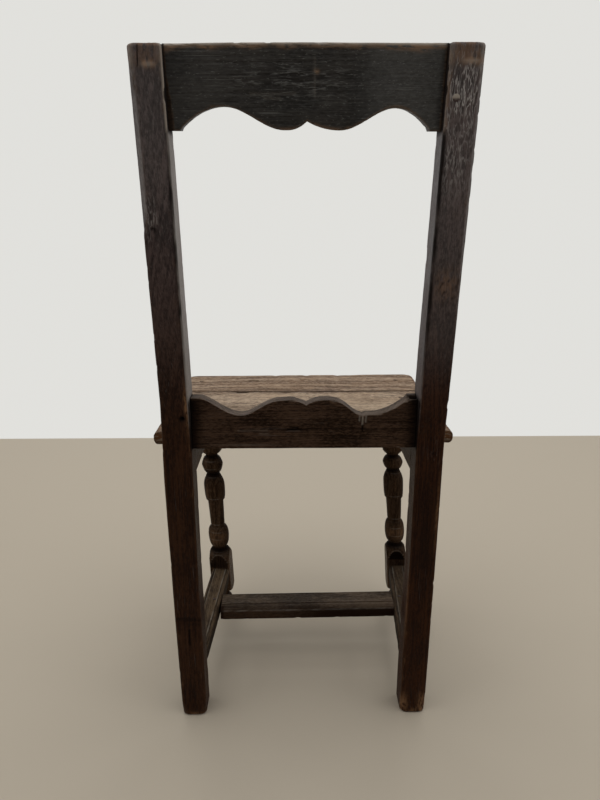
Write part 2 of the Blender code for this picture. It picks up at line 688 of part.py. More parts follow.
def finish(name, body):
    if "peg" in name:
        colour, roughness = PEG_OAK, PEG_ROUGHNESS
    elif "seat" in name:
        colour, roughness = SEAT_OAK, SEAT_ROUGHNESS
    elif name == "crest_rail":
        colour, roughness = BLACK_OAK, FRAME_ROUGHNESS
    else:
        colour, roughness = DARK_OAK, FRAME_ROUGHNESS
    material = bpy.data.materials.new(name + "_oak")
    material.use_nodes = True
    shader = material.node_tree.nodes["Principled BSDF"]
    shader.inputs["Base Color"].default_value = (*colour, 1)
    shader.inputs["Roughness"].default_value = roughness
    shader.inputs["Metallic"].default_value = 0
    body.data.materials.clear()
    body.data.materials.append(material)


def build_chair():
    for old in list(bpy.data.objects):
        bpy.data.objects.remove(old)
    for side in SIDES:
        rear_post(side)
        front_leg(side)
    crest_rail()
    rail_front = back_rail()
    front_rail()
    for side in SIDES:
        side_rail(side)
        side_stretcher(side)
    middle_stretcher()
    front_seat_board()
    rear_seat_board(rail_front)
    for side in SIDES:
        crest_and_back_pegs(side)
        side_pegs(side)
        front_rail_peg(side)
        middle_stretcher_peg(side)
        seat_pegs(side)
    for name, body in BODY.items():
        finish(name, body)


build_chair()
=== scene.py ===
import math
from functools import partial

import bmesh
import bpy
import numpy as np
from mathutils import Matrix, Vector, noise


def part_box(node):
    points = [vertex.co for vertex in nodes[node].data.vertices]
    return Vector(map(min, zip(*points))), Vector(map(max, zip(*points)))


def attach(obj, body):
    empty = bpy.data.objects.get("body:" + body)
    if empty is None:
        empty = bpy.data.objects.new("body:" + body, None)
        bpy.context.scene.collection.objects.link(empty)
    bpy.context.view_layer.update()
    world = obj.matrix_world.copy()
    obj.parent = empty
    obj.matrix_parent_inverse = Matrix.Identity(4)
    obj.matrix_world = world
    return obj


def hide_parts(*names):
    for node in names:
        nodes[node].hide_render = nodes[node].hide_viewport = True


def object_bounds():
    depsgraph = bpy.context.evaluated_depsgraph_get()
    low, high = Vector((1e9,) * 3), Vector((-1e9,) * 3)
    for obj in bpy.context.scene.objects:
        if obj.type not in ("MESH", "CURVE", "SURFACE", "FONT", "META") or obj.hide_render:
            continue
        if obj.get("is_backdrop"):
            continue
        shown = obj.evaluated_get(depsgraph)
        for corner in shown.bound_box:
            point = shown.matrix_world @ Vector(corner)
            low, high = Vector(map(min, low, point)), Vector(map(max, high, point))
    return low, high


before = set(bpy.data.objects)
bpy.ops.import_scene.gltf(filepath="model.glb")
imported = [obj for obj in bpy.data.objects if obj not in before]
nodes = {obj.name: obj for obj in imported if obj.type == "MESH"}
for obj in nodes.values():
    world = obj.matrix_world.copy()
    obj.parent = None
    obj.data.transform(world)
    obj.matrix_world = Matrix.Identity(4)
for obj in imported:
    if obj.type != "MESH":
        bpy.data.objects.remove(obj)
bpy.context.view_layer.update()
scene = bpy.context.scene
sides = {"left": 1, "right": -1}  # the sitter's left is +X, and the sitter faces -Y
maskNames = ("arris", "rub", "pale", "film", "weather", "grime")
quarterTurn = math.pi / 2
cutCache = {}


def pair(left, right):
    return {"left": left, "right": right}


def both(value):
    return pair(value, value)


def forSide(look, side):
    # a look with one side's value in place of each pair
    return {key: value[side] if isinstance(value, dict) and side in value else value
            for key, value in look.items()}


def nodeEdges(name):
    if name not in cutCache:
        mesh = nodes[name].data
        points = np.array([vertex.co for vertex in mesh.vertices])
        ends = np.array([edge.vertices[:] for edge in mesh.edges])
        cutCache[name] = points[ends[:, 0]], points[ends[:, 1]]
    return cutCache[name]


def cutThrough(name, axis, at):
    # lowest and highest corner of a flat cut through a CAD node
    first, second = nodeEdges(name)
    rise = second[:, axis] - first[:, axis]
    level = np.abs(rise) < 1e-9
    share = (at - first[:, axis]) / np.where(level, 1, rise)
    met = ~level & (share >= 0) & (share <= 1)
    cut = first[met] + (second - first)[met] * share[met, None]
    return cut.min(0), cut.max(0)


def shoulders(name, axis):
    # where the full section of a tenoned bar begins and ends
    low, high = (corner[axis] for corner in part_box(name))
    places = np.linspace(low + 0.0005, high - 0.0005, 400)
    sizes = []
    for at in places:
        start, end = cutThrough(name, axis, at)
        extent = np.delete(end - start, axis)
        sizes.append(extent[0] * extent[1])
    full = places[np.array(sizes) > 0.9 * max(sizes)]
    return full[0], full[-1]


def barEnds(name, axis, inset):
    # a tenoned bar's shoulders, and the cuts just inside them
    start, end = shoulders(name, axis)
    return start, end, cutThrough(name, axis, start + inset), cutThrough(name, axis, end - inset)


def roam(points, stretch, seed, octaves=3):
    # smooth noise at each point, about -1 to 1
    flat = points.reshape(-1, 3) * np.array(stretch) + seed
    values = [noise.fractal(Vector(place), 1.0, 2.0, octaves) for place in flat]
    return np.array(values).reshape(points.shape[:-1])


def streaks(places, frequency, row, layer):
    # noise that changes along a bar only
    return np.array([noise.noise(Vector((at * frequency, row, layer))) for at in places])


def smooth(low, high, value):
    share = np.clip((value - low) / (high - low), 0, 1)
    return share * share * (3 - 2 * share)


def hump(offset, width):
    # 1 at no offset, and near 0 at twice the width
    return np.exp(-(offset / width) ** 2)


def quarterRound(radius, fromEdge):
    # how far in a rounded edge lies, at a distance from its end
    within = np.clip(radius - fromEdge, 0, radius)
    return radius - np.sqrt(radius ** 2 - within ** 2)


def gridNormals(grid):
    along = np.gradient(grid, axis=0)
    around = np.roll(grid, -1, axis=1) - np.roll(grid, 1, axis=1)
    normal = np.cross(around, along)
    normal /= np.maximum(np.linalg.norm(normal, axis=-1, keepdims=True), 1e-12)
    outward = (normal * (grid - grid.mean(axis=1, keepdims=True))).sum()
    return normal if outward > 0 else -normal


def newPiece(grid, arris):
    masks = {name: np.zeros(grid.shape[:2]) for name in maskNames}
    masks["arris"] = np.broadcast_to(arris, grid.shape[:2]).copy()
    return {"grid": grid, "masks": masks}


def deepen(piece, mask, values):
    piece["masks"][mask] = np.maximum(piece["masks"][mask], values)


def barRings(halfWide, halfDeep, radii, sideCounts, cornerCount=5, reach=0.0024):
    # rounded oblong sections, and how near each point is to an arris
    corners = ((1, 1), (-1, 1), (-1, -1), (1, -1))
    arcs = []
    for index, (signWide, signDeep) in enumerate(corners):
        turn = (np.arange(cornerCount) / (cornerCount - 1) + index) * quarterTurn
        radius = radii[:, index, None]
        wide = signWide * (halfWide[:, None] - radius) + radius * np.cos(turn)
        deep = signDeep * (halfDeep[:, None] - radius) + radius * np.sin(turn)
        arcs.append(np.stack([wide, deep], -1))
    loops, near = [], []
    for index, arc in enumerate(arcs):
        after = arcs[(index + 1) % 4]
        count = sideCounts[index % 2]
        share = (np.arange(count) + 1) / (count + 1)
        run = after[:, :1] - arc[:, -1:]
        fromArris = np.minimum(share, 1 - share) * np.linalg.norm(run, axis=-1)
        loops += [arc, arc[:, -1:] + run * share[None, :, None]]
        near += [np.ones(arc.shape[:2]), np.exp(-fromArris / reach)]
    return np.concatenate(loops, axis=1), np.concatenate(near, axis=1)


def wornRadii(places, look, seed, frequency=30):
    # corner radii that wander along a bar, one column for each of its four arrises
    columns = [base + look["arrisWear"] * np.maximum(0, streaks(places, frequency, corner * 7.3 + seed, 0.5))
               for corner, base in enumerate(look["arrises"])]
    return np.stack(columns, -1)


def stations(start, end, apart, *extras):
    plain = np.linspace(start, end, max(2, int(abs(end - start) / apart) + 1))
    return np.unique(np.round(np.concatenate([plain, *[np.atleast_1d(extra) for extra in extras]]), 6))


def closeEnds(piece, shares=(0.82, 0.55, 0.25, 0.03)):
    grid, masks = piece["grid"], piece["masks"]
    caps = []
    for end in (0, -1):
        middle = grid[end].mean(0)
        caps.append([middle + (grid[end] - middle) * share for share in shares])
    piece["grid"] = np.concatenate([caps[0][::-1], grid, caps[1]])
    fade = np.array(shares)[:, None] ** 6
    for name, mask in masks.items():
        middles = [mask[end].mean() if name == "rub" else 0.0 for end in (0, -1)]
        first, last = (middles[end] + fade * (mask[end] - middles[end]) for end in (0, -1))
        masks[name] = np.concatenate([first[::-1], mask, last])


def ageSurface(piece, grain, look, seed):
    # slow hand-planed waves, fine furrows along the grain, and chips along the arrises, all cut inwards
    grid, arris = piece["grid"], piece["masks"]["arris"]
    outward = gridNormals(grid)
    scale = {}
    for name in ("wave", "furrow", "chip"):
        depth, along, across = look[name]
        stretch = np.full(3, across)
        stretch[grain] = along
        scale[name] = depth, stretch
    cut = scale["wave"][0] * (0.5 + 0.5 * roam(grid, scale["wave"][1], seed, 2))
    cut += scale["furrow"][0] * np.clip(0.4 + roam(grid, scale["furrow"][1], seed + 3.7, 3), 0, 1)
    chips = np.clip(roam(grid, scale["chip"][1], seed + 9.1, 3) - 0.32, 0, 1)
    cut += scale["chip"][0] * chips * arris ** 2
    piece["grid"] = grid - outward * np.maximum(cut, 0)[..., None]
    deepen(piece, "rub", look["chipShow"] * np.clip(chips * 3, 0, 1) * arris)


def toSegment(grid, start, end):
    start, end = np.array(start), np.array(end)
    run = end - start
    share = np.clip(((grid - start) @ run) / max(run @ run, 1e-12), 0, 1)
    return np.linalg.norm(grid - (start + share[..., None] * run), axis=-1)


def inPatch(grid, middle, size):
    return np.exp(-(((grid - np.array(middle)) / np.array(size)) ** 2).sum(-1))


def cutIn(piece, depths):
    piece["grid"] = piece["grid"] - gridNormals(piece["grid"]) * depths[..., None]


def gouge(piece, start, end, width, depth, mask="grime", strength=1.0):
    # a crack or slot along a line: cut in, and marked for the finish
    fall = hump(toSegment(piece["grid"], start, end), width)
    cutIn(piece, depth * fall)
    deepen(piece, mask, strength * fall ** 0.5)


def paint(piece, mask, middle, size, strength=1.0):
    deepen(piece, mask, strength * inPatch(piece["grid"], middle, size))


def pitted(piece, middle, size, depth, seed):
    # a patch of small worm and damp pits
    grid = piece["grid"]
    pits = np.clip(roam(grid, (230, 230, 150), seed, 2) - 0.1, 0, 1) * inPatch(grid, middle, size)
    cutIn(piece, depth * pits)
    deepen(piece, "grime", np.clip(pits * 2.2, 0, 0.9))


def wearIn(piece, onFace, marks):
    # each mark is a tool and what it is given, with places on the face as (x, z)
    for tool, *given in marks:
        tool(piece, *(onFace(*value) if isinstance(value, tuple) and len(value) == 2 else value
                      for value in given))


def keepInside(piece, *names):
    boxes = [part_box(name) for name in names]
    low = np.min([np.array(box[0]) for box in boxes], axis=0)
    high = np.max([np.array(box[1]) for box in boxes], axis=0)
    piece["grid"] = np.clip(piece["grid"], low, high)


def makePiece(name, piece, finish, slotName, *stands):
    grid = piece["grid"]
    rings, around = grid.shape[:2]
    index = np.arange(rings * around).reshape(rings, around)
    after = np.roll(index, -1, axis=1)
    quads = np.stack([index[:-1], after[:-1], after[1:], index[1:]], -1).reshape(-1, 4)
    faces = quads.tolist() + [index[0][::-1].tolist(), index[-1].tolist()]
    mesh = bpy.data.meshes.new(name)
    mesh.from_pydata(grid.reshape(-1, 3).tolist(), [], faces)
    shape = bmesh.new()
    shape.from_mesh(mesh)
    if shape.calc_volume(signed=True) < 0:
        bmesh.ops.reverse_faces(shape, faces=shape.faces)
        shape.to_mesh(mesh)
    shape.free()
    mesh.shade_smooth()
    mesh.set_sharp_from_angle(angle=math.radians(50))
    for mask, values in piece["masks"].items():
        layer = mesh.attributes.new(mask, "FLOAT", "POINT")
        layer.data.foreach_set("value", np.clip(values, 0, 1).astype(np.float32).ravel())
    mesh.materials.append(finish)
    body = bpy.data.objects.new(name, mesh)
    scene.collection.objects.link(body)
    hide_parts(*stands)
    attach(body, "root")


# Shader pieces

def addNode(tree, kind, settings=None, **inputs):
    # inputs are named with _ for a space, or i and a number
    node = tree.nodes.new("ShaderNode" + kind)
    for name, value in (settings or {}).items():
        setattr(node, name, value)
    for name, value in inputs.items():
        numbered = name[0] == "i" and name[1:].isdigit()
        socket = node.inputs[int(name[1:]) if numbered else name.replace("_", " ")]
        if isinstance(value, bpy.types.NodeSocket):
            tree.links.new(value, socket)
        else:
            socket.default_value = value
    return node


def placeGroup(tree, group, **inputs):
    return addNode(tree, "Group", {"node_tree": group}, **inputs).outputs


def sums(tree, operation, first, second=0.0):
    return addNode(tree, "Math", {"operation": operation}, i0=first, i1=second).outputs[0]


def arithmetic(tree):
    return [partial(sums, tree, operation) for operation in ("ADD", "SUBTRACT", "MULTIPLY", "MAXIMUM")]


def vectorSum(tree, operation, first, second):
    return addNode(tree, "VectorMath", {"operation": operation}, i0=first, i1=second).outputs[0]


def between(tree, value, low, high):
    # 0 at low and 1 at high, eased
    eased = {"interpolation_type": "SMOOTHSTEP"}
    return addNode(tree, "MapRange", eased, Value=value, From_Min=low, From_Max=high).outputs[0]


def rgba(colour):
    return (*colour, 1.0)


def blendColour(tree, factor, first, second):
    return addNode(tree, "Mix", {"data_type": "RGBA"}, i0=factor, i6=first, i7=second).outputs[2]


def noiseAlong(tree, vector, scale, detail=2, rough=0.5):
    # noise with one scale along the grain and another across it
    along, across = scale
    spread = vectorSum(tree, "MULTIPLY", vector, (along, across, across))
    return addNode(tree, "TexNoise", None, Vector=spread, Scale=1.0, Detail=detail, Roughness=rough).outputs


def patches(tree, vector, scale, edges, detail=2, rough=0.5):
    return between(tree, noiseAlong(tree, vector, scale, detail, rough)[0], *edges)


def openGroup(name, **inputs):
    group = bpy.data.node_groups.new(name, "ShaderNodeTree")
    addSocket = partial(group.interface.new_socket, in_out="INPUT")
    addSocket("Vector", socket_type="NodeSocketVector")
    for label, value in inputs.items():
        addSocket(label.replace("_", " "), socket_type="NodeSocketFloat").default_value = value
    return group, group.nodes.new("NodeGroupInput").outputs


def closeGroup(group, wanted):
    for label in wanted:
        group.interface.new_socket(label, in_out="OUTPUT", socket_type="NodeSocketFloat")
    ends = group.nodes.new("NodeGroupOutput").inputs
    for label, value in wanted.items():
        group.links.new(value, ends[label])
    return group


def oakGrainGroup():
    # growth rings, fibres and pores of oak whose grain runs along X
    group, given = openGroup("oakGrain", Ring_Width=0.003, Waviness=0.006)
    plus, less, times, most = arithmetic(group)
    bend = noiseAlong(group, given["Vector"], scale=(5, 16))["Color"]
    centred = vectorSum(group, "SUBTRACT", bend, (0.5, 0.5, 0.5))
    shift = addNode(group, "VectorMath", {"operation": "SCALE"}, i0=centred, Scale=given["Waviness"])
    bent = vectorSum(group, "ADD", given["Vector"], shift.outputs[0])
    crosswise = vectorSum(group, "MULTIPLY", bent, (0, 1, 1))
    fromPith = vectorSum(group, "ADD", crosswise, (0, 0.043, 0.061))
    radius = addNode(group, "VectorMath", {"operation": "LENGTH"}, i0=fromPith).outputs["Value"]
    count = sums(group, "DIVIDE", radius, given["Ring Width"])
    ringNoise = addNode(group, "TexNoise", {"noise_dimensions": "1D"}, W=count, Scale=1.0, Detail=2.0)
    rings = between(group, ringNoise.outputs[0], 0.33, 0.67)
    fibres = patches(group, bent, scale=(14, 640), edges=(0.32, 0.68), detail=3, rough=0.6)
    pores = times(patches(group, bent, scale=(85, 1500), edges=(0.56, 0.66), detail=1), less(1.15, rings))
    height = less(plus(times(fibres, 0.6), times(rings, 0.35)), times(pores, 0.7))
    return closeGroup(group, {"Rings": rings, "Fibres": fibres, "Pores": pores, "Height": height})


def agedMarksGroup():
    # flecks, scratches and wavy ridges along the grain, fine speckle, and slow cloudy changes of tone
    group, given = openGroup("agedMarks")
    plus, less, times, most = arithmetic(group)
    spread = partial(patches, group, given["Vector"])
    swell = noiseAlong(group, given["Vector"], scale=(42, 350), rough=0.55)[0]
    fromCrest = sums(group, "ABSOLUTE", less(swell, 0.5))
    line = spread(scale=(13, 900), edges=(0.66, 0.72), detail=1)
    return closeGroup(group, {
        "Flecks": spread(scale=(240, 760), edges=(0.62, 0.72)),
        "Scratches": times(line, spread(scale=(14, 40), edges=(0.52, 0.66), detail=1)),
        "Ridges": times(between(group, fromCrest, 0.055, 0.012), spread(scale=(40, 150), edges=(0.38, 0.54))),
        "Grooves": between(group, swell, 0.53, 0.61),
        "Mottle": spread(scale=(13, 30), edges=(0.35, 0.68), detail=3, rough=0.6),
        "Speckle": spread(scale=(150, 430), edges=(0.32, 0.68), detail=4, rough=0.7),
    })


def wornEdgeGroup():
    # rubbed arrises, broken up by noise
    group, given = openGroup("wornEdge", Arris=0.0, Spread=0.5)
    plus, less, times, most = arithmetic(group)
    broken = noiseAlong(group, given["Vector"], scale=(45, 120), detail=3, rough=0.65)[0]
    raised = plus(plus(less(given["Arris"], 1.0), given["Spread"]), less(broken, 0.5))
    return closeGroup(group, {"Mask": between(group, raised, 0.05, 0.4)})


oakGrain = oakGrainGroup()
agedMarks = agedMarksGroup()
wornEdge = wornEdgeGroup()
grainTurns = {0: (0, 0, 0), 1: (0, 0, quarterTurn), 2: (0, quarterTurn, 0)}  # the grain's axis, brought to X
neverRed = (-0.1, -0.2)
darkLook = {
    "grain": 2, "ringWidth": 0.0030, "waviness": 0.006, "rings": 0.22, "fibres": 0.36, "soft": 0.40, "cloud": 0.35,
    "shine": 0.12, "bending": 1.40, "rough": 0.44, "roughChange": 0.14, "weatherRough": 0.12, "grimeRough": 0.25,
    "edgeSmooth": 0.06, "relief": 0.45, "bumpTall": 0.0009, "ridgeLift": 1.6, "speckleLift": 0.5,
    "scratchLift": 0.5, "cracks": 0.0, "edgeSpread": 0.34, "edge": 0.05, "warmth": 0.22, "pores": 0.6,
    "flecks": 0.16, "scratches": 0.12, "sunk": 0.85, "evenFilmAndSheen": 0.55, "dustiness": 0.12, "evenDustAndSheen": 0.5,
    "upFacing": (0.35, 0.95), "rubScale": (90, 260), "rubEdges": (0.32, 0.58), "redBelow": (0.80, 0.44),
    "deep": (0.038, 0.0275, 0.0268), "body": (0.120, 0.089, 0.086), "warm": (0.087, 0.053, 0.045),
    "redDeep": (0.0160, 0.0046, 0.0016), "red": (0.0445, 0.0172, 0.0070), "pore": (0.010, 0.006, 0.0045),
    "fleck": (0.34, 0.32, 0.31), "film": (0.27, 0.255, 0.25), "rubbed": (0.27, 0.145, 0.072),
    "bare": (0.40, 0.345, 0.29), "dust": (0.20, 0.165, 0.13), "grimeTone": (0.004, 0.002, 0.0015),
    "ridge": (0.43, 0.40, 0.38),
}


def oakFinish(name, **changes):
    look = dict(darkLook, **changes)
    material = bpy.data.materials.new(name)
    material.use_nodes = True
    tree = material.node_tree
    tree.nodes.clear()
    plus, less, times, most = arithmetic(tree)

    def over(colour, share, coat):
        return blendColour(tree, share, colour, rgba(look[coat]))

    def partly(value, least):
        return plus(times(value, 1 - least), least)

    place = tree.nodes.new("ShaderNodeTexCoord").outputs["Object"]
    normal = tree.nodes.new("ShaderNodeNewGeometry").outputs["Normal"]
    level, facing = (addNode(tree, "SeparateXYZ", None, Vector=part).outputs["Z"] for part in (place, normal))
    turned = addNode(tree, "Mapping", None, Vector=place, Rotation=grainTurns[look["grain"]]).outputs[0]
    grain = placeGroup(tree, oakGrain, Vector=turned, Ring_Width=look["ringWidth"], Waviness=look["waviness"])
    marks = placeGroup(tree, agedMarks, Vector=turned)
    mask = {key: addNode(tree, "Attribute", {"attribute_name": key}).outputs["Fac"] for key in maskNames}
    edge = placeGroup(tree, wornEdge, Vector=turned, Arris=mask["arris"], Spread=look["edgeSpread"])["Mask"]

    tone = plus(times(grain["Rings"], look["rings"]), times(grain["Fibres"], look["fibres"]))
    tone = plus(tone, times(marks["Speckle"], 1 - look["rings"] - look["fibres"]))
    tone = plus(tone, times(less(marks["Mottle"], 0.5), look["cloud"]))
    tone = between(tree, tone, 0.5 - look["soft"], 0.5 + look["soft"])
    colour = over(rgba(look["deep"]), tone, "body")
    colour = over(colour, times(marks["Mottle"], look["warmth"]), "warm")
    redShare = between(tree, level, *look["redBelow"])
    colour = blendColour(tree, redShare, colour, over(rgba(look["redDeep"]), tone, "red"))
    openGrain = most(times(grain["Pores"], look["pores"]), times(marks["Ridges"], look["cracks"]))
    openGrain = most(openGrain, times(marks["Grooves"], times(mask["weather"], look["sunk"])))
    colour = over(colour, openGrain, "pore")
    # lighter film and painted sheen where the film-and-sheen mask is set
    colour = over(colour, times(mask["film"], partly(marks["Speckle"], look["evenFilmAndSheen"])), "film")
    fleckShare = times(times(marks["Flecks"], look["flecks"]), less(1.0, redShare))
    colour = over(colour, most(fleckShare, times(marks["Scratches"], look["scratches"])), "fleck")
    weathered = times(marks["Ridges"], mask["weather"])
    colour = over(colour, weathered, "ridge")
    rubbed = times(mask["rub"], patches(tree, turned, look["rubScale"], look["rubEdges"], detail=3, rough=0.6))
    colour = over(colour, most(rubbed, times(edge, look["edge"])), "rubbed")
    # bare wood, and painted highlights, where the pale mask is set
    colour = over(colour, mask["pale"], "bare")
    # dust and painted sheen on faces that look up
    dustAndSheenShare = times(between(tree, facing, *look["upFacing"]), partly(marks["Mottle"], look["evenDustAndSheen"]))
    dustAndSheenShare = times(dustAndSheenShare, partly(tone, look["evenDustAndSheen"]))
    colour = over(colour, times(dustAndSheenShare, look["dustiness"]), "dust")
    # grime, and painted shade in joints, creases and recesses
    colour = over(colour, mask["grime"], "grimeTone")

    rough = plus(look["rough"], times(marks["Mottle"], look["roughChange"]))
    rough = plus(rough, times(mask["weather"], look["weatherRough"]))
    rough = plus(rough, times(mask["grime"], look["grimeRough"]))
    rough = less(rough, times(edge, look["edgeSmooth"]))
    lifted = plus(grain["Height"], times(weathered, look["ridgeLift"]))
    lifted = plus(lifted, times(marks["Speckle"], look["speckleLift"]))
    lifted = less(lifted, times(marks["Scratches"], look["scratchLift"]))
    bump = addNode(tree, "Bump", None, Strength=look["relief"], Distance=look["bumpTall"], Height=lifted)
    shader = addNode(tree, "BsdfPrincipled", None, Base_Color=colour, Roughness=rough, Normal=bump.outputs[0],
                     Specular_IOR_Level=look["shine"], IOR=look["bending"])
    addNode(tree, "OutputMaterial", None, Surface=shader.outputs[0])
    return material


railTones = {"redBelow": neverRed, "deep": (0.0155, 0.0075, 0.0038), "body": (0.082, 0.048, 0.0305),
             "warm": (0.058, 0.030, 0.018)}
postOak = oakFinish("postOak")
rightPostOak = oakFinish("rightPostOak", redDeep=(0.0165, 0.0040, 0.0012), red=(0.0450, 0.0150, 0.0048))
crestOak = oakFinish(
    "crestOak", grain=0, shine=0.20, deep=(0.018, 0.0168, 0.0155), body=(0.054, 0.0515, 0.048),
    warm=(0.044, 0.034, 0.026), warmth=0.2, soft=0.50, flecks=0.26, scratches=0.30, fleck=(0.30, 0.30, 0.285),
    ridge=(0.24, 0.24, 0.23), film=(0.115, 0.113, 0.108), edgeSpread=0.4, edge=0.2, rubbed=(0.29, 0.175, 0.102),
    bare=(0.50, 0.44, 0.37), grimeTone=(0.010, 0.0045, 0.0022), redBelow=neverRed)
railOak = oakFinish(
    "railOak", grain=0, flecks=0.05, relief=0.7, bending=1.2, fibres=0.22, soft=0.44, cloud=0.40, dustiness=0.85,
    dust=(0.25, 0.196, 0.155), **railTones)
sideRailOak = oakFinish("sideRailOak", grain=1, **railTones)
turnedOak = oakFinish(
    "turnedOak", deep=(0.031, 0.0165, 0.0085), body=(0.098, 0.060, 0.036), warm=(0.056, 0.024, 0.011), rough=0.16,
    roughChange=0.12, shine=0.5, bending=1.06, relief=0.25, soft=0.36, cloud=0.45, dustiness=0.30,
    dust=(0.135, 0.104, 0.076), redBelow=neverRed, flecks=0.05, film=(0.33, 0.30, 0.27))
sideStretcherOak = oakFinish(
    "sideStretcherOak", grain=1, deep=(0.028, 0.0165, 0.009), body=(0.122, 0.081, 0.046),
    warm=(0.085, 0.050, 0.026), rough=0.5, bending=1.3, dustiness=0.25, dust=(0.18, 0.130, 0.080),
    redBelow=neverRed, film=(0.36, 0.32, 0.26))
middleStretcherOak = oakFinish(
    "middleStretcherOak", grain=0, deep=(0.040, 0.0265, 0.0165), body=(0.170, 0.125, 0.086),
    warm=(0.075, 0.046, 0.028), rough=0.5, bending=1.3, dustiness=0.0, redBelow=neverRed,
    grimeTone=(0.014, 0.0045, 0.0015), film=(0.34, 0.31, 0.27))
seatOak = oakFinish(
    "seatOak", grain=0, waviness=0.012, shine=0.2, rough=0.66, relief=0.8, dustiness=0.0, pores=0.9, rings=0.24,
    fibres=0.32, soft=0.28, cloud=0.12, cracks=0.60, flecks=0.45, scratches=0.25, warmth=0.35, edge=0.3,
    redBelow=neverRed, deep=(0.165, 0.107, 0.068), body=(0.64, 0.48, 0.335), warm=(0.40, 0.265, 0.165),
    pore=(0.050, 0.029, 0.017), fleck=(0.66, 0.55, 0.41), film=(0.62, 0.485, 0.34), rubbed=(0.175, 0.074, 0.028),
    grimeTone=(0.020, 0.010, 0.006))
pegOak = oakFinish(
    "pegOak", grain=1, deep=(0.026, 0.016, 0.012), body=(0.080, 0.055, 0.046), ringWidth=0.0016, edge=0.15,
    redBelow=neverRed)
seatPegOak = oakFinish(
    "seatPegOak", deep=(0.13, 0.085, 0.06), body=(0.30, 0.22, 0.15), ringWidth=0.0016, edge=0.1, dustiness=0.0,
    shine=0.2, rough=0.66, redBelow=neverRed)
print("finishes made:", len(bpy.data.materials))

barWear = {"wave": (0.0004, 5, 16), "furrow": (0.00020, 22, 330), "chip": (0.0038, 60, 120), "chipShow": 0.25}

# Rear posts
postLook = {
    "apart": 0.0034, "fineAtPeg": (0.462, 0.486, 0.0012), "fineAtTop": (0.838, 0.004, 0.0018),
    "sideCounts": (30, 24), "footRound": 0.0034, "footBulge": 0.0022, "bulgeAt": (0.030, 0.003),
    "footWear": 0.007, "footWearAt": (0.026, 0.004), "topRound": 0.0042, "leanFrom": 0.80,
    "arrises": (0.0020, 0.0020, 0.0010, 0.0010), "arrisWear": 0.0012, "topDrop": pair(0.0019, 0.0),
    "slope": pair((0.0066, 0.0060), (0.0030, 0.0022)), "slopeStarts": pair((0.700, 0.735), (0.55, 0.70)),
    "slopeEnds": pair((0.875, 0.825), (0.92, 0.91)), "slopeSheen": 0.75, "haze": pair((0.20, 0.03), (0.20, 0.18)),
    "joint": (0.808, 0.815), "railJoint": (0.424, 0.430, 0.494, 0.502), "jointShade": 0.9,
    "innerSheen": pair(0.90, 0.42), "innerPale": pair(0.35, 0.0), "arrisHighlight": pair(0.9, 0.25),
    "topRub": 0.55, "topArrisWearAndHighlight": 0.30, "topBrown": pair(0.25, 0.38), "jointRub": pair(0.0, 0.40),
    "darkEdge": pair(0.80, 1.10),
    # how far a face stands out from a straight post, at some heights
    "front": ((0.38, 0.47, 0.56, 0.84), (0.0, 0.0035, 0.0035, -0.0025)),
    "inner": ((0.10, 0.24), (0.0015, 0.0)),
    "outer": pair(((0.02, 0.10, 0.20, 0.30, 0.38, 0.42, 0.50), (-0.0016, 0.0, 0.0010, 0.0020, 0.0027, 0.0022, 0.0)),
                  ((0.0, 0.10, 0.30), (-0.0004, 0.0, 0.0007))),
}
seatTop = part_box("rear_seat_board")[1].z
postLevels = (0.02, seatTop, 0.87)
postCuts = [cutThrough("left_rear_post", 2, level) for level in postLevels]
postDepth = postCuts[0][1][1] - postCuts[0][0][1]
postRears = [cut[1][1] for cut in postCuts]
lowerSlope = (postRears[1] - postRears[0]) / (postLevels[1] - postLevels[0])
upperSlope = (postRears[2] - postRears[1]) / (postLevels[2] - postLevels[1])
rake = math.atan(upperSlope)
topCut = math.sin(rake) * math.cos(rake)  # how fast the square-cut post top rises towards the front
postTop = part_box("left_rear_post")[1].z - postDepth * topCut
postInner, postOuter = (corner[0] for corner in cutThrough("left_rear_post", 2, 0.60))


def postRear(z):
    return postRears[1] + np.where(z < seatTop, lowerSlope, upperSlope) * (z - seatTop)


def onPost(x, z):
    return (x, float(postRear(z)), z)


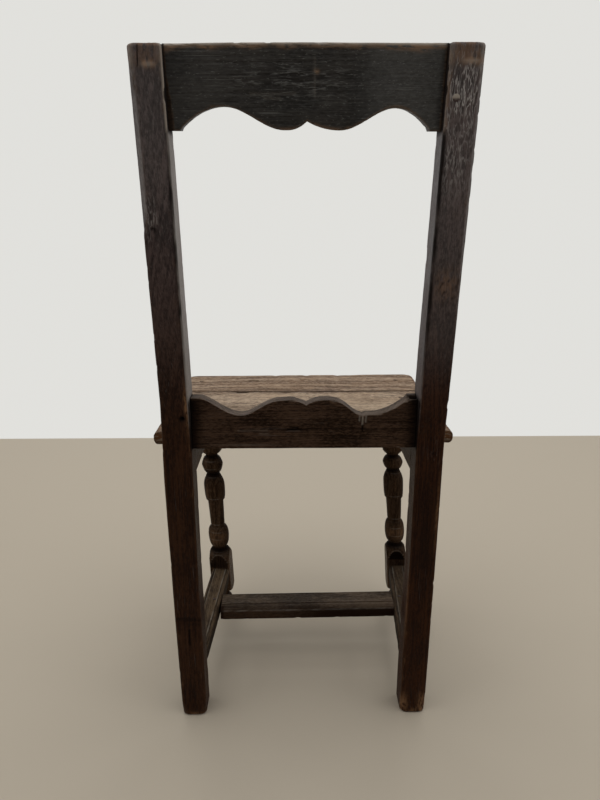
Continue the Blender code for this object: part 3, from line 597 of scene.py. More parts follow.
def rearPost(side):
    sign, look = sides[side], forSide(postLook, side)
    top = postTop - look["topDrop"]
    bend = 1 - np.cos(np.linspace(0, quarterTurn, 6))
    fineFrom, belowTop, fineApart = look["fineAtTop"]
    heights = stations(0, top, look["apart"], look["footRound"] * bend, top - look["topRound"] * bend,
                       np.arange(*look["fineAtPeg"]), np.arange(fineFrom, top - belowTop, fineApart))
    inset = quarterRound(look["footRound"], heights) + quarterRound(look["topRound"], top - heights)
    radii = wornRadii(heights, look, sign * 3.1, 22)
    radii[:, :2] += look["footWear"] * smooth(*look["footWearAt"], heights)[:, None]
    half = (postOuter - postInner) / 2 - inset
    loops, near = barRings(half, postDepth / 2 - inset, radii, look["sideCounts"])
    half, inset, heights = (values[:, None] for values in (half, inset, heights))
    out, back = sign * loops[..., 0], loops[..., 1]
    z = heights + smooth(look["leanFrom"], top, heights) * topCut * (postDepth / 2 - back)
    # the outer rear corner is worn off at a slant
    cutWide, cutDeep = look["slope"]
    atHeight = smooth(*look["slopeStarts"], heights) * (0.5 + 0.5 * smooth(*look["slopeEnds"], heights))
    fromRear = postDepth / 2 - inset - back
    slant = np.clip(1 - fromRear / cutDeep, 0, 1) * smooth(half - 2.2 * cutWide, half, out) * atHeight
    out = out - cutWide * slant
    frontOut, innerOut, outerOut = (np.interp(heights, *look[face]) for face in ("front", "inner", "outer"))
    y = postRear(z) - postDepth / 2 + back - frontOut * (0.5 - back / postDepth)
    y = y + look["footBulge"] * (0.5 + back / postDepth) * smooth(*look["bulgeAt"], z)
    wider = outerOut * (0.5 + out / half / 2) - innerOut * (0.5 - out / half / 2)
    grid = np.stack([sign * ((postInner + postOuter) / 2 + out + wider), y, z], -1)
    piece = newPiece(grid, near)

    # painted sheen on the worn slant
    onSlant = smooth(cutDeep, cutDeep * 0.7, fromRear) * smooth(half - 1.25 * cutWide, half - 0.8 * cutWide, out)
    deepen(piece, "film", look["slopeSheen"] * onSlant * atHeight)
    # painted sheen on the upper part of the posts
    sheenHigh, sheenLow = look["haze"]
    deepen(piece, "film", sheenLow * smooth(0.50, 0.60, z) + (sheenHigh - sheenLow) * smooth(0.68, 0.80, z))
    deepen(piece, "rub", look["topRub"] * smooth(top - 0.0065, top - 0.001, heights))
    deepen(piece, "rub", look["topBrown"] * smooth(top - 0.026, top - 0.014, heights))
    # pale worn arrises near the top, also lightened as a painted highlight
    deepen(piece, "pale", look["topArrisWearAndHighlight"] * near * smooth(top - 0.040, top - 0.008, heights))
    besideCrest = smooth(*look["joint"], z)
    fromInner = half + out
    fromArris = fromInner + fromRear
    # painted sheen and painted light on the inner faces, below the crest
    haze = look["innerSheen"] * smooth(0.0024, 0.0010, fromInner) * smooth(0.44, 0.50, z) * (1 - besideCrest)
    deepen(piece, "film", haze)
    deepen(piece, "pale", look["innerPale"] * haze)
    # a painted highlight along the inner rear arris beside the crest
    deepen(piece, "pale", look["arrisHighlight"] * hump(fromArris - 0.0014, 0.0008) * besideCrest)
    deepen(piece, "rub", look["jointRub"] * hump(fromArris - 0.0022, 0.0020) * besideCrest)
    darkEdge = look["darkEdge"] * hump(fromArris - 0.0018, 0.0022)
    darkEdge = np.clip(darkEdge * (0.85 + 0.7 * roam(grid, (60, 60, 45), 3.3 + sign, 2)), 0, 0.9)
    deepen(piece, "grime", darkEdge * (1 - besideCrest) * smooth(0.50, 0.62, z))
    # painted shade where the crest and the back rail meet the post
    inJointShade = look["jointShade"] * smooth(0.0014, 0.0004, fromInner)
    deepen(piece, "grime", inJointShade * besideCrest * smooth(0.0010, 0.0030, fromRear))
    railFoot, railStart, railEnd, railHead = look["railJoint"]
    deepen(piece, "grime", inJointShade * smooth(railFoot, railStart, z) * smooth(railHead, railEnd, z))
    closeEnds(piece)
    ageSurface(piece, 2, barWear, 4.0 + sign)
    return piece


postMarks = pair((
    (gouge, (0.1725, 0.893), (0.1738, 0.873), 0.0006, 0.0018, "grime", 0.75),  # split down from the top
    (paint, "rub", (0.164, 0.8755), (0.0095, 0.006, 0.0036)),
    (paint, "pale", (0.163, 0.8750), (0.0070, 0.006, 0.0022), 0.60),
    (paint, "rub", (0.1515, 0.488), (0.0022, 0.006, 0.034), 0.75),
    (pitted, (0.1735, 0.718), (0.010, 0.012, 0.030), 0.0022, 2.0),
    (paint, "weather", (0.1735, 0.722), (0.010, 0.012, 0.026), 0.45),
    (gouge, (0.1573, 0.4733), (0.1573, 0.4733), 0.0032, 0.0055),  # the peg here has shrunk into its hole
    (gouge, (0.1656, 0.150), (0.1656, 0.124), 0.0011, 0.0014),
    (gouge, (0.148, 0.1675), (0.182, 0.1690), 0.0020, 0.0009, "grime", 0.70),
    (gouge, (0.150, 0.1600), (0.172, 0.1610), 0.0012, 0.0005, "grime", 0.40),
    (paint, "rub", (0.164, 0.003), (0.016, 0.008, 0.003), 0.5),
), (
    (paint, "weather", (-0.166, 0.845), (0.024, 0.03, 0.045), 0.95),
    (paint, "weather", (-0.163, 0.785), (0.022, 0.03, 0.035), 0.55),
    (paint, "rub", (-0.173, 0.8795), (0.013, 0.006, 0.0042)),
    (paint, "pale", (-0.172, 0.8790), (0.010, 0.006, 0.0022), 0.60),
    (paint, "rub", (-0.168, 0.646), (0.014, 0.006, 0.018), 0.40),
    (pitted, (-0.168, 0.645), (0.014, 0.010, 0.024), 0.0008, 7.0),
    (pitted, (-0.170, 0.425), (0.013, 0.010, 0.024), 0.0024, 5.0),
    (paint, "weather", (-0.172, 0.424), (0.012, 0.010, 0.020), 0.10),
    (paint, "rub", (-0.1815, 0.33), (0.0018, 0.006, 0.050), 0.5),
    (paint, "rub", (-0.1475, 0.19), (0.0016, 0.006, 0.060), 0.4),
    (paint, "grime", (-0.168, 0.30), (0.012, 0.012, 0.100), 0.55),
    (paint, "rub", (-0.150, 0.011), (0.006, 0.008, 0.019), 0.9),
    (paint, "rub", (-0.178, 0.011), (0.006, 0.008, 0.019), 0.9),
    (paint, "rub", (-0.164, 0.004), (0.016, 0.008, 0.004), 0.6),
))
for side, finish in pair(postOak, rightPostOak).items():
    post = rearPost(side)
    wearIn(post, onPost, postMarks[side])
    keepInside(post, side + "_rear_post", "rear_seat_board")
    makePiece(side + "Post", post, finish, "dark_oak", side + "_rear_post")
print("rear posts made")


# Rails with a scalloped edge
def scallopRise(x, look, ends):
    rise = np.zeros(len(x))
    for side, sign in sides.items():
        own = forSide(look, side)
        out, cuspAt, lobeAt, hollowAt = sign * x, -sign * own["cuspOffset"], own["lobeAt"], own["hollowAt"]
        toLobe = np.clip((out - cuspAt) / (lobeAt - cuspAt), 0, 1)
        hollowFrom = own.get("hollowFrom", hollowAt)
        toHollow = np.clip((out - lobeAt) / (hollowFrom - lobeAt), 0, 1) ** own.get("lean", 1.0)
        toEnd = np.clip((out - hollowAt) / (ends[side] - hollowAt), 0, 1)
        lobe = own["lobe"] + (own["cusp"] - own["lobe"]) * (1 - toLobe) ** own["lobeRound"]
        hollow = own["lobe"] + (own["hollow"] - own["lobe"]) * (1 - np.cos(math.pi * toHollow)) / 2
        waved = np.cos(quarterTurn * toEnd)
        other = np.sqrt(1 - toEnd ** 2) if own["fullness"] > 0 else (1 + np.cos(math.pi * toEnd)) / 2
        toFlat = own["hollow"] * (waved + (other - waved) * abs(own["fullness"]))
        half = np.where(out < lobeAt, lobe, np.where(out < hollowAt, hollow, toFlat))
        rise = np.where(out >= cuspAt, half, rise)
    return rise


def railRings(across, lowEdge, highEdge, depthLow, depthHigh, look, seed):
    halfDeep = np.full(len(across), (depthHigh - depthLow) / 2)
    radii = wornRadii(across, look, seed)
    loops, near = barRings(halfDeep, (highEdge - lowEdge) / 2, radii, look["sideCounts"])
    depth = (depthLow + depthHigh) / 2 + loops[..., 0]
    height = ((lowEdge + highEdge) / 2)[:, None] + loops[..., 1]
    return np.broadcast_to(across[:, None], depth.shape), depth, height, near


railReach = postInner + 0.0015  # the rails' ends are let a little into the posts

crestLook = {
    "height": 0.0856, "flat": 0.0123, "lobeAt": pair(0.0228, 0.0375), "cuspOffset": 0.0017,
    "hollowAt": pair(0.0885, 0.0985), "cusp": 0.010, "lobe": 0.0010, "hollow": pair(0.0242, 0.0233),
    "sunkLeft": 0.0015, "lobeRound": pair(2.6, 2.1), "fullness": pair(0.35, 0.33), "apart": 0.0016,
    "sideCounts": (9, 44), "arrises": (0.0024, 0.0018, 0.0012, 0.0014), "arrisWear": 0.0020,
    "bandDeep": (0.0082, 0.0060), "lobeRub": 0.7, "highlightLine": 0.9, "weather": 0.45,
}
crestOrigin = np.array((0, float(postRear(postTop)), postTop))
outOfSlope = np.array((0, math.cos(rake), -math.sin(rake)))
upSlope = np.array((0, math.sin(rake), math.cos(rake)))
crestOut = (np.concatenate(nodeEdges("crest_rail")) - crestOrigin) @ outOfSlope
crestFront, crestRear = crestOut.min(), crestOut.max()
crestEnd = postInner - crestLook["flat"]
across = stations(-railReach, railReach, crestLook["apart"], -crestLook["cuspOffset"], (-crestEnd, crestEnd))
lowEdge = -crestLook["height"] + scallopRise(across, crestLook, both(crestEnd))
topEdge = -crestLook["sunkLeft"] * np.clip(across / railReach, 0, 1) ** 1.5
x, depth, height, near = railRings(across, lowEdge, topEdge, crestFront, crestRear, crestLook, 1.7)
grid = crestOrigin + depth[..., None] * outOfSlope + height[..., None] * upSlope
grid[..., 0] += x
crest = newPiece(grid, near)
streak = streaks(across, 38, 4.2, 0)[:, None]
fromTop, fromLow, fromEnd = height - topEdge[:, None], height - lowEdge[:, None], railReach - np.abs(x)
bandDeep = crestLook["bandDeep"][0] + crestLook["bandDeep"][1] * streak
deepen(crest, "rub", smooth(-bandDeep, -0.0016, fromTop) * np.clip(0.80 + 0.6 * streak, 0, 1))
onLobe = smooth(0.065, 0.050, np.abs(x)) * smooth(0.004, 0.010, np.abs(x))
lobeBand = smooth(0.0046, 0.0008, fromLow) * (0.2 + 0.8 * onLobe)
deepen(crest, "rub", crestLook["lobeRub"] * lobeBand * np.clip(0.6 + streak, 0, 1))
# a painted highlight along the top rear arris
topHighlight = smooth(-0.0032, -0.0014, fromTop) * smooth(crestRear - 0.007, crestRear - 0.003, depth)
deepen(crest, "pale", crestLook["highlightLine"] * topHighlight * np.clip(0.7 + 0.6 * streak, 0, 1))
# painted shade in the joints where the crest meets the posts, the left one wider at the bottom
wedge = np.where(x > 0, 0.0024 + 0.0044 * smooth(-0.02, -0.075, height), 0.0033)
crestJointShade = smooth(wedge + 0.0004, wedge - 0.0008, fromEnd)
deepen(crest, "grime", np.where(x > 0, 0.90, 0.97) * crestJointShade)
deepen(crest, "rub", 0.6 * crestJointShade)
onBack = smooth(crestRear - 0.006, crestRear - 0.002, depth)
deepen(crest, "weather", crestLook["weather"] * onBack * hump(x - 0.012, 0.068) * hump(height + 0.036, 0.019))
rightHaze = 0.62 * smooth(-0.045, -0.085, x) * (1 - smooth(0.010, 0.003, fromEnd))
deepen(crest, "film", rightHaze + 0.20 * smooth(0.06, 0.11, x))
ageSurface(crest, 0, barWear, 12.0)


def onCrest(x, z):
    return (x, crestOrigin[1] + (z - postTop) * math.tan(rake) + crestRear * math.cos(rake), z)


wearIn(crest, onCrest, (
    (paint, "rub", (-0.0114, 0.8705), (0.0024, 0.006, 0.0020), 0.9),
    (gouge, (-0.0091, 0.884), (-0.0096, 0.846), 0.0008, 0.0004, "pale", 0.10),
    (gouge, (0.0589, 0.849), (0.0115, 0.8496), 0.0008, 0.0004, "pale", 0.12),
    (gouge, (0.0443, 0.8452), (0.0274, 0.8448), 0.0008, 0.0004, "pale", 0.14),
))
keepInside(crest, "crest_rail")
makePiece("crestRail", crest, crestOak, "black_oak", "crest_rail")

backLook = {
    "flat": pair(0.0135, 0.0115), "lobeAt": pair(0.0215, 0.0262), "cuspOffset": 0.0028,
    "hollowAt": pair(0.0822, 0.0885), "cusp": 0.0102, "lobe": 0.0034, "hollow": 0.0237,
    "hollowFrom": pair(0.0822, 0.0745), "lean": pair(1.35, 1.58), "lobeRound": 2.3, "fullness": pair(-0.5, 0.25),
    "lower": 0.0012, "apart": 0.0016, "sideCounts": (12, 38), "arrises": (0.0014, 0.0014, 0.0016, 0.0018),
    "arrisWear": 0.0012, "notchAt": -0.0770, "notchWidth": 0.0030, "notchDepth": 0.0016,
    "notchFine": (-0.090, -0.066, 0.0009), "brokenEnd": (-0.1285, -0.1365), "brokenDrop": 0.0032, "shadow": 0.85,
}
backLow, backHigh = cutThrough("back_rail", 0, 0.03)
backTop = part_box("back_rail")[1].z
backFace = backHigh[1]
backEnds = {side: postInner - backLook["flat"][side] for side in sides}
across = stations(-railReach, railReach, backLook["apart"], -backLook["cuspOffset"],
                  (-backEnds["right"], backEnds["left"]), np.arange(*backLook["notchFine"]))
highEdge = backTop - scallopRise(across, backLook, backEnds)
fromNotch = np.abs((across - backLook["notchAt"]) / backLook["notchWidth"])
highEdge -= backLook["notchDepth"] * np.exp(-fromNotch ** 1.3)
lowEdge = np.full(len(across), backLow[2] - backLook["lower"])
x, depth, height, near = railRings(across, lowEdge, highEdge, backLow[1], backFace, backLook, 4.4)
# the rear corner of the right end has broken down, round a dark hollow
atTop = smooth(highEdge[:, None] - 0.006, highEdge[:, None] - 0.001, height)
broken = smooth(*backLook["brokenEnd"], x) * smooth(backFace - 0.014, backFace - 0.001, depth) * atTop
height = height - backLook["brokenDrop"] * broken
backRail = newPiece(np.stack([x, depth, height], -1), near)
ageSurface(backRail, 0, barWear, 21.0)
fromEnd = railReach - np.abs(backRail["grid"][..., 0])
below = highEdge[:, None] - height
# painted shadow at the ends beside the posts, and painted shade in a wedge at each end that widens downwards
deepen(backRail, "grime", backLook["shadow"] * smooth(0.022, 0.003, fromEnd) * smooth(0.0008, 0.0040, below))
deepen(backRail, "grime", smooth(0.0030 + 0.05 * below, 0.0022, fromEnd))


def onBackRail(x, z):
    return (x, backFace, z)


wearIn(backRail, onBackRail, (
    (gouge, (0.0212, 0.4546), (0.0030, 0.4545), 0.0011, 0.0026),  # slot in the middle
    (gouge, (0.0190, 0.4590), (0.0080, 0.4576), 0.0010, 0.0016, "grime", 0.9),
    (gouge, (0.0867, 0.4538), (0.0479, 0.4535), 0.0007, 0.0005, "pale", 0.16),  # scratches
    (gouge, (0.0584, 0.4494), (0.0459, 0.4494), 0.0007, 0.0005, "pale", 0.16),
    (gouge, (0.084, 0.4550), (0.042, 0.4500), 0.0008, 0.0008, "grime", 0.6),
    (gouge, (0.100, 0.4405), (0.030, 0.4400), 0.0008, 0.0007, "grime", 0.5),
    (gouge, (-0.0730, 0.4745), (-0.0724, 0.4672), 0.0007, 0.0012, "pale", 0.6),  # broken slivers
    (gouge, (-0.0770, 0.4745), (-0.0764, 0.4616), 0.0007, 0.0012, "pale", 0.85),
    (gouge, (-0.0812, 0.4745), (-0.0806, 0.4655), 0.0007, 0.0012, "pale", 0.6),
    (gouge, (-0.0768, 0.4606), (-0.0766, 0.4535), 0.0008, 0.0016, "grime", 0.8),
    (paint, "grime", (-0.105, 0.122, 0.4765), (0.028, 0.030, 0.006), 0.35),
    (gouge, (-0.1400, 0.1215, backTop - 0.001), (-0.1465, 0.1215, backTop - 0.001), 0.0036, 0.0050),
    (paint, "pale", (0.076, 0.4340), (0.036, 0.004, 0.0014), 0.13),
))
keepInside(backRail, "back_rail", "left_rear_post", "right_rear_post")
makePiece("backRail", backRail, railOak, "dark_oak", "back_rail")

frontLook = {
    "flat": 0.016, "lobeAt": 0.026, "hollowAt": 0.088, "cuspOffset": 0.0, "cusp": 0.010, "lobe": 0.0013,
    "hollow": 0.024, "lobeRound": 2.3, "fullness": 0.25, "apart": 0.0018, "sideCounts": (9, 34),
    "arrises": (0.0010, 0.0010, 0.0016, 0.0014), "arrisWear": 0.0012, "letIn": 0.0015,
}
frontLow, frontHigh = cutThrough("front_rail", 0, 0.12)
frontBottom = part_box("front_rail")[0].z
leftInner = cutThrough("left_front_leg", 2, 0.40)[0][0]
rightInner = cutThrough("right_front_leg", 2, 0.40)[1][0]
frontEnd = cutThrough("front_rail", 2, frontBottom + 0.0005)[1][0] - frontLook["flat"]
across = stations(rightInner - frontLook["letIn"], leftInner + frontLook["letIn"], frontLook["apart"], 0,
                  (-frontEnd, frontEnd))
lowEdge = frontBottom + scallopRise(across, frontLook, both(frontEnd))
highEdge = np.full(len(across), frontHigh[2])
x, depth, height, near = railRings(across, lowEdge, highEdge, frontLow[1], frontHigh[1], frontLook, 6.2)
frontRail = newPiece(np.stack([x, depth, height], -1), near)
ageSurface(frontRail, 0, barWear, 33.0)
keepInside(frontRail, "front_rail")
makePiece("frontRail", frontRail, railOak, "dark_oak", "front_rail")
print("scalloped rails made")

# Side rails, under the ends of the seat
letIn = 0.001  # how far side rails and stretchers go into their mortised pieces
sideRailLook = {"apart": 0.004, "sideCounts": (9, 20), "arrises": (0.0010, 0.0010, 0.0016, 0.0016),
                "arrisWear": 0.0010, "inset": 0.004}
for side, sign in sides.items():
    node = side + "_side_rail"
    start, end, startCut, endCut = barEnds(node, 1, sideRailLook["inset"])
    along = stations(start - letIn, end + letIn, sideRailLook["apart"])
    share = ((along - start) / (end - start))[:, None]
    low, high = (startCut[corner] + share * (endCut[corner] - startCut[corner]) for corner in (0, 1))
    size, middle = (high - low) / 2, (low + high) / 2
    radii = wornRadii(along, sideRailLook, 2.0 + sign)
    loops, near = barRings(size[:, 0], size[:, 2], radii, sideRailLook["sideCounts"])
    x, z = middle[:, :1] + loops[..., 0], middle[:, 2:] + loops[..., 1]
    sideRail = newPiece(np.stack([x, np.broadcast_to(along[:, None], x.shape), z], -1), near)
    ageSurface(sideRail, 1, barWear, 41.0 + sign)
    keepInside(sideRail, node)
    makePiece(side + "SideRail", sideRail, sideRailOak, "dark_oak", node)

# Flat stretchers, moulded along their upper edges
stretcherLook = {
    "apart": 0.0035, "inset": 0.003, "drop": 0.004, "grooveWide": 0.0014, "grooveDeep": 0.0010, "sideMould": 0.0050,
    "rearMould": 0.0150, "frontMould": 0.0050, "bottomRound": 0.0012, "roundShare": 0.82, "steps": 8,
    "lines": (0.9, 0.6), "innerShade": 0.65, "grooveShade": 0.8, "overall": pair(0.0, 0.30),
}


def mouldedLoop(width, thick, firstMould, secondMould):
    # a flat bar's section, from its lower first edge over the top to its lower second edge, and back underneath
    drop, wide, deep, steps, roundShare, soft = (
        stretcherLook[key] for key in ("drop", "grooveWide", "grooveDeep", "steps", "roundShare", "bottomRound"))

    def mould(edge, inward, size):
        run = []
        for step in range(steps + 1):
            turn = quarterTurn * step / steps
            reach = size * ((1 - math.cos(turn)) * roundShare + (1 - roundShare) * step / steps)
            run.append((edge + inward * reach, thick - drop + drop * math.sin(turn), math.exp(-step / 2.5)))
        run.append((edge + inward * (size + wide * 0.5), thick - deep, 0.0))
        run.append((edge + inward * (size + wide), thick, 0.5))
        return run

    half = width / 2
    firstSide = [(-half + soft, 0.0, 0.8), (-half, soft, 0.8)]
    firstSide += [(-half, soft + (thick - drop - soft) * step / 6, 0.15) for step in range(1, 6)]
    rise = mould(-half, 1, firstMould)
    flatStart, flatEnd = rise[-1][0], half - secondMould - wide
    flat = [(flatStart + (flatEnd - flatStart) * step / 12, thick, 0.0) for step in range(1, 12)]
    fall = mould(half, -1, secondMould)[::-1]
    secondSide = [(-across, up, near) for across, up, near in firstSide][::-1]
    under = [(half - soft - (width - 2 * soft) * step / 10, 0.0, 0.0) for step in range(1, 10)]
    loop = np.array(firstSide + rise + flat + fall + secondSide + under)
    return loop[:, :2], loop[:, 2]


middleLow, middleHigh = cutThrough("middle_stretcher", 0, 0.0)
middleRear = middleHigh[1]
stretcherTops = {}
for side, sign in sides.items():
    node, look = side + "_side_stretcher", forSide(stretcherLook, side)
    start, end, startCut, endCut = barEnds(node, 1, look["inset"])
    stretcherTops[side] = startCut[1][2]
    along = stations(start - letIn, end + letIn, look["apart"])
    width, thick = (startCut[1] - startCut[0])[[0, 2]]
    loop, near = mouldedLoop(width, thick, look["sideMould"], look["sideMould"])
    share = (along - start - look["inset"]) / (end - start - 2 * look["inset"])
    startAt, endAt = (sum(cut)[0] / 2 for cut in (startCut, endCut))
    middle = startAt + share * (endAt - startAt)
    x = middle[:, None] + loop[:, 0]
    z = (startCut[0][2] + share * (endCut[0][2] - startCut[0][2]))[:, None] + loop[:, 1]
    stretcher = newPiece(np.stack([x, np.broadcast_to(along[:, None], x.shape), z], -1), near)
    inward = -sign * loop[:, 0]
    onTop = smooth(thick - 0.0012, thick - 0.0004, loop[:, 1])
    ledge = width / 2 - look["sideMould"] - look["grooveWide"]
    # painted highlight lines along the top edges, broken up
    lines = look["lines"][0] * hump(inward - ledge, 0.0012) + look["lines"][1] * hump(inward + ledge, 0.0012)
    broken = np.clip(0.75 + roam(stretcher["grid"], (40, 55, 40), 8.0 + sign, 2), 0, 1)
    deepen(stretcher, "film", lines * onTop * broken)
    # painted shade on the inner side and in the grooves
    deepen(stretcher, "grime", look["innerShade"] * smooth(thick - 0.0040, thick - 0.0050, loop[:, 1]) * (inward > 0))
    deepen(stretcher, "grime", look["grooveShade"] * hump(np.abs(inward) - width / 2 + look["sideMould"], 0.0007))
    deepen(stretcher, "grime", look["overall"])
    if side == "left":  # painted shade of a dark gap where the middle stretcher meets it
        jointAt = np.interp(middleRear, along, middle) - width / 2
        paint(stretcher, "grime", (jointAt, middleRear + 0.003, z.max()), (0.0045, 0.011, 0.014), 0.95)
    ageSurface(stretcher, 1, barWear, 51.0 + sign)
    keepInside(stretcher, node)
    makePiece(side + "SideStretcher", stretcher, sideStretcherOak, "dark_oak", node)

start, end = shoulders("middle_stretcher", 0)
along = stations(start - letIn, end + letIn, stretcherLook["apart"])
width, thick = (middleHigh - middleLow)[1:]
loop, near = mouldedLoop(width, thick, stretcherLook["frontMould"], stretcherLook["rearMould"])
tiltAt = 0.10
leftCut, rightCut = (cutThrough("middle_stretcher", 0, at) for at in (tiltAt, -tiltAt))
tilt = (leftCut[0] - rightCut[0])[2] / (2 * tiltAt)
along = along[:, None]
y = np.broadcast_to((middleLow + middleHigh)[1] / 2 + loop[:, 0], (len(along), len(loop)))
z = middleLow[2] + tilt * along + loop[:, 1]
middleStretcher = newPiece(np.stack([np.broadcast_to(along, y.shape), y, z], -1), near)
onRearFace = smooth(0.0010, 0.0, middleRear - y) * smooth(thick - 0.0036, thick - 0.0042, loop[:, 1])
backward = loop[:, 0] - width / 2
deepen(middleStretcher, "grime", (0.66 + 0.28 * smooth(0.04, -0.05, along)) * onRearFace)
# painted shade in the groove and on the moulding at the back
deepen(middleStretcher, "grime", 0.7 * hump(backward + stretcherLook["rearMould"] + 0.0006, 0.0009))
onMould = smooth(-0.0140, -0.0060, backward) * smooth(0.0, 0.0012, loop[:, 1] - thick + 0.0042)
deepen(middleStretcher, "grime", 0.45 * onMould)
deepen(middleStretcher, "rub", 0.30 * smooth(0.0, 0.05, along) * onRearFace)
# a broken painted highlight along the rear arris
rearArrisHighlight = hump(loop[:, 1] - thick + 0.0036, 0.0007) * smooth(-0.0025, -0.0010, backward)
deepen(middleStretcher, "film", rearArrisHighlight * np.clip(0.45 + 0.9 * streaks(along[:, 0], 55, 2.2, 7.1), 0, 1)[:, None])
# painted shade of a dark gap at the left end
deepen(middleStretcher, "grime", 0.9 * smooth(end - 0.010, end - 0.003, along) * smooth(-0.018, -0.008, backward))
ageSurface(middleStretcher, 0, barWear, 57.0)
keepInside(middleStretcher, "middle_stretcher")
makePiece("middleStretcher", middleStretcher, middleStretcherOak, "dark_oak", "middle_stretcher")
print("side rails and stretchers made")

# Turned front legs: heights and radii, which differ from leg to leg
legLook = {
    "sidesRound": 64, "steps": 12, "apart": 0.0011, "squareness": 16, "neck": 0.0106, "foot": 0.0140, "bunAt": 0.014,
    "bun": 0.0166, "ankle": (0.029, 0.039), "lowBlockBottom": 0.055, "columnWide": (0.0127, 0.0142),
    "fillet": 0.0164, "topBlockAt": 0.350, "cutsAt": (0.075, 0.40), "lineDeep": 0.0007, "lineWide": 0.0008,
    "sideShade": 0.50, "lineGlint": (0.08, 0.32), "rimGlint": 0.30, "archRound": 2.4, "bellyWearAndSheen": 0.26,
    "beltTall": 0.011, "neckShade": {"lowNeck": (0.95, 0.0072, -0.003), "highNeck": (0.90, 0.0088, 0.0),
                                    "topNeck": (0.85, 0.0052, 0.0)},
    "lowBlockTop": pair(0.0930, 0.1010), "lowNeck": pair((0.1300, 0.1345), (0.1362, 0.1407)),
    "lowNeckWide": pair(0.0132, 0.0120), "lowBall": pair(0.1572, 0.1620), "ball": pair(0.0189, 0.0182),
    "column": pair((0.1740, 0.2275), (0.1835, 0.2300)), "vase": pair(0.2550, 0.2615),
    "highNeck": pair(0.2800, 0.2855), "highBall": pair(0.2965, 0.2985),
    "topNeck": pair((0.3115, 0.3155), (0.3098, 0.3138)),
    "lines": pair((0.1195, 0.1240, 0.1500, 0.1640, 0.1775, 0.2310, 0.2720, 0.2890, 0.3035),
                  (0.1310, 0.1540, 0.1700, 0.1870, 0.2340, 0.2780)),
    "archShade": pair(0.70, 0.97), "archFoot": pair(0.094, 0.1075), "archTop": pair(0.1190, 0.1250),
    "wide": pair(1.04, 1.0), "twist": pair(-0.10, 0.0), "darker": pair(0.0, 0.36),
}
turnedWear = {"wave": (0.0003, 20, 30), "furrow": (0.00012, 26, 300), "chip": (0.0030, 45, 85), "chipShow": 0.1}


def swelling(low, middle, high, full=1.0):
    turn = np.linspace(0, quarterTurn, legLook["steps"])
    ups = 1 - np.cos(turn)
    outs = full * np.sin(turn) + (1 - full) * ups
    rise, fall = ([(end[0] + (middle[0] - end[0]) * up, end[1] + (middle[1] - end[1]) * out)
                   for up, out in zip(ups, outs)] for end in (low, high))
    return rise + fall[-2::-1]


def shoulder(neck, block):
    first = math.asin(neck[1] / block[1])
    rise = (neck[0] - block[0]) / math.cos(first)
    turns = np.linspace(first, quarterTurn, legLook["steps"] + 6)
    return [(block[0] + rise * math.cos(turn), block[1] * math.sin(turn)) for turn in turns]


def taper(belly, neck):
    shares = np.linspace(1, 0, legLook["steps"])[1:]
    return [(neck[0] + (belly[0] - neck[0]) * share, neck[1] + (belly[1] - neck[1]) * math.sin(quarterTurn * share))
            for share in shares]


def legProfile(look, stock, top):
    neck, ball, lowNeck, widest = look["neck"], look["ball"], look["lowNeckWide"], stock / math.sqrt(2) + 0.0006
    columnLow, columnHigh = zip(look["column"], look["columnWide"])
    belly, highNeck = (look["vase"], ball), (look["highNeck"], neck)
    points = swelling((0, look["foot"]), (look["bunAt"], look["bun"]), (look["ankle"][0], neck))
    points += shoulder((look["ankle"][1], neck), (look["lowBlockBottom"], widest))
    points += shoulder((look["lowNeck"][0], lowNeck), (look["lowBlockTop"], widest))[::-1]
    points += swelling((look["lowNeck"][1], lowNeck), (look["lowBall"], ball), columnLow)
    points += [columnHigh]
    points += swelling((columnHigh[0] + 0.0004, look["fillet"]), belly, highNeck)[:look["steps"]]
    points += taper(belly, highNeck)
    points += swelling(highNeck, (look["highBall"], ball), (look["topNeck"][0], neck), 0.7)[1:]
    points += shoulder((look["topNeck"][1], neck), (look["topBlockAt"], widest)) + [(top, widest)]
    points = np.array(points)
    heights = stations(0, top, look["apart"], points[:, 0])
    radii = np.interp(heights, points[:, 0], points[:, 1])
    for line in look["lines"]:  # fine lines cut on the lathe
        radii = radii - look["lineDeep"] * hump(heights - line, look["lineWide"])
    return heights[:, None], radii[:, None]


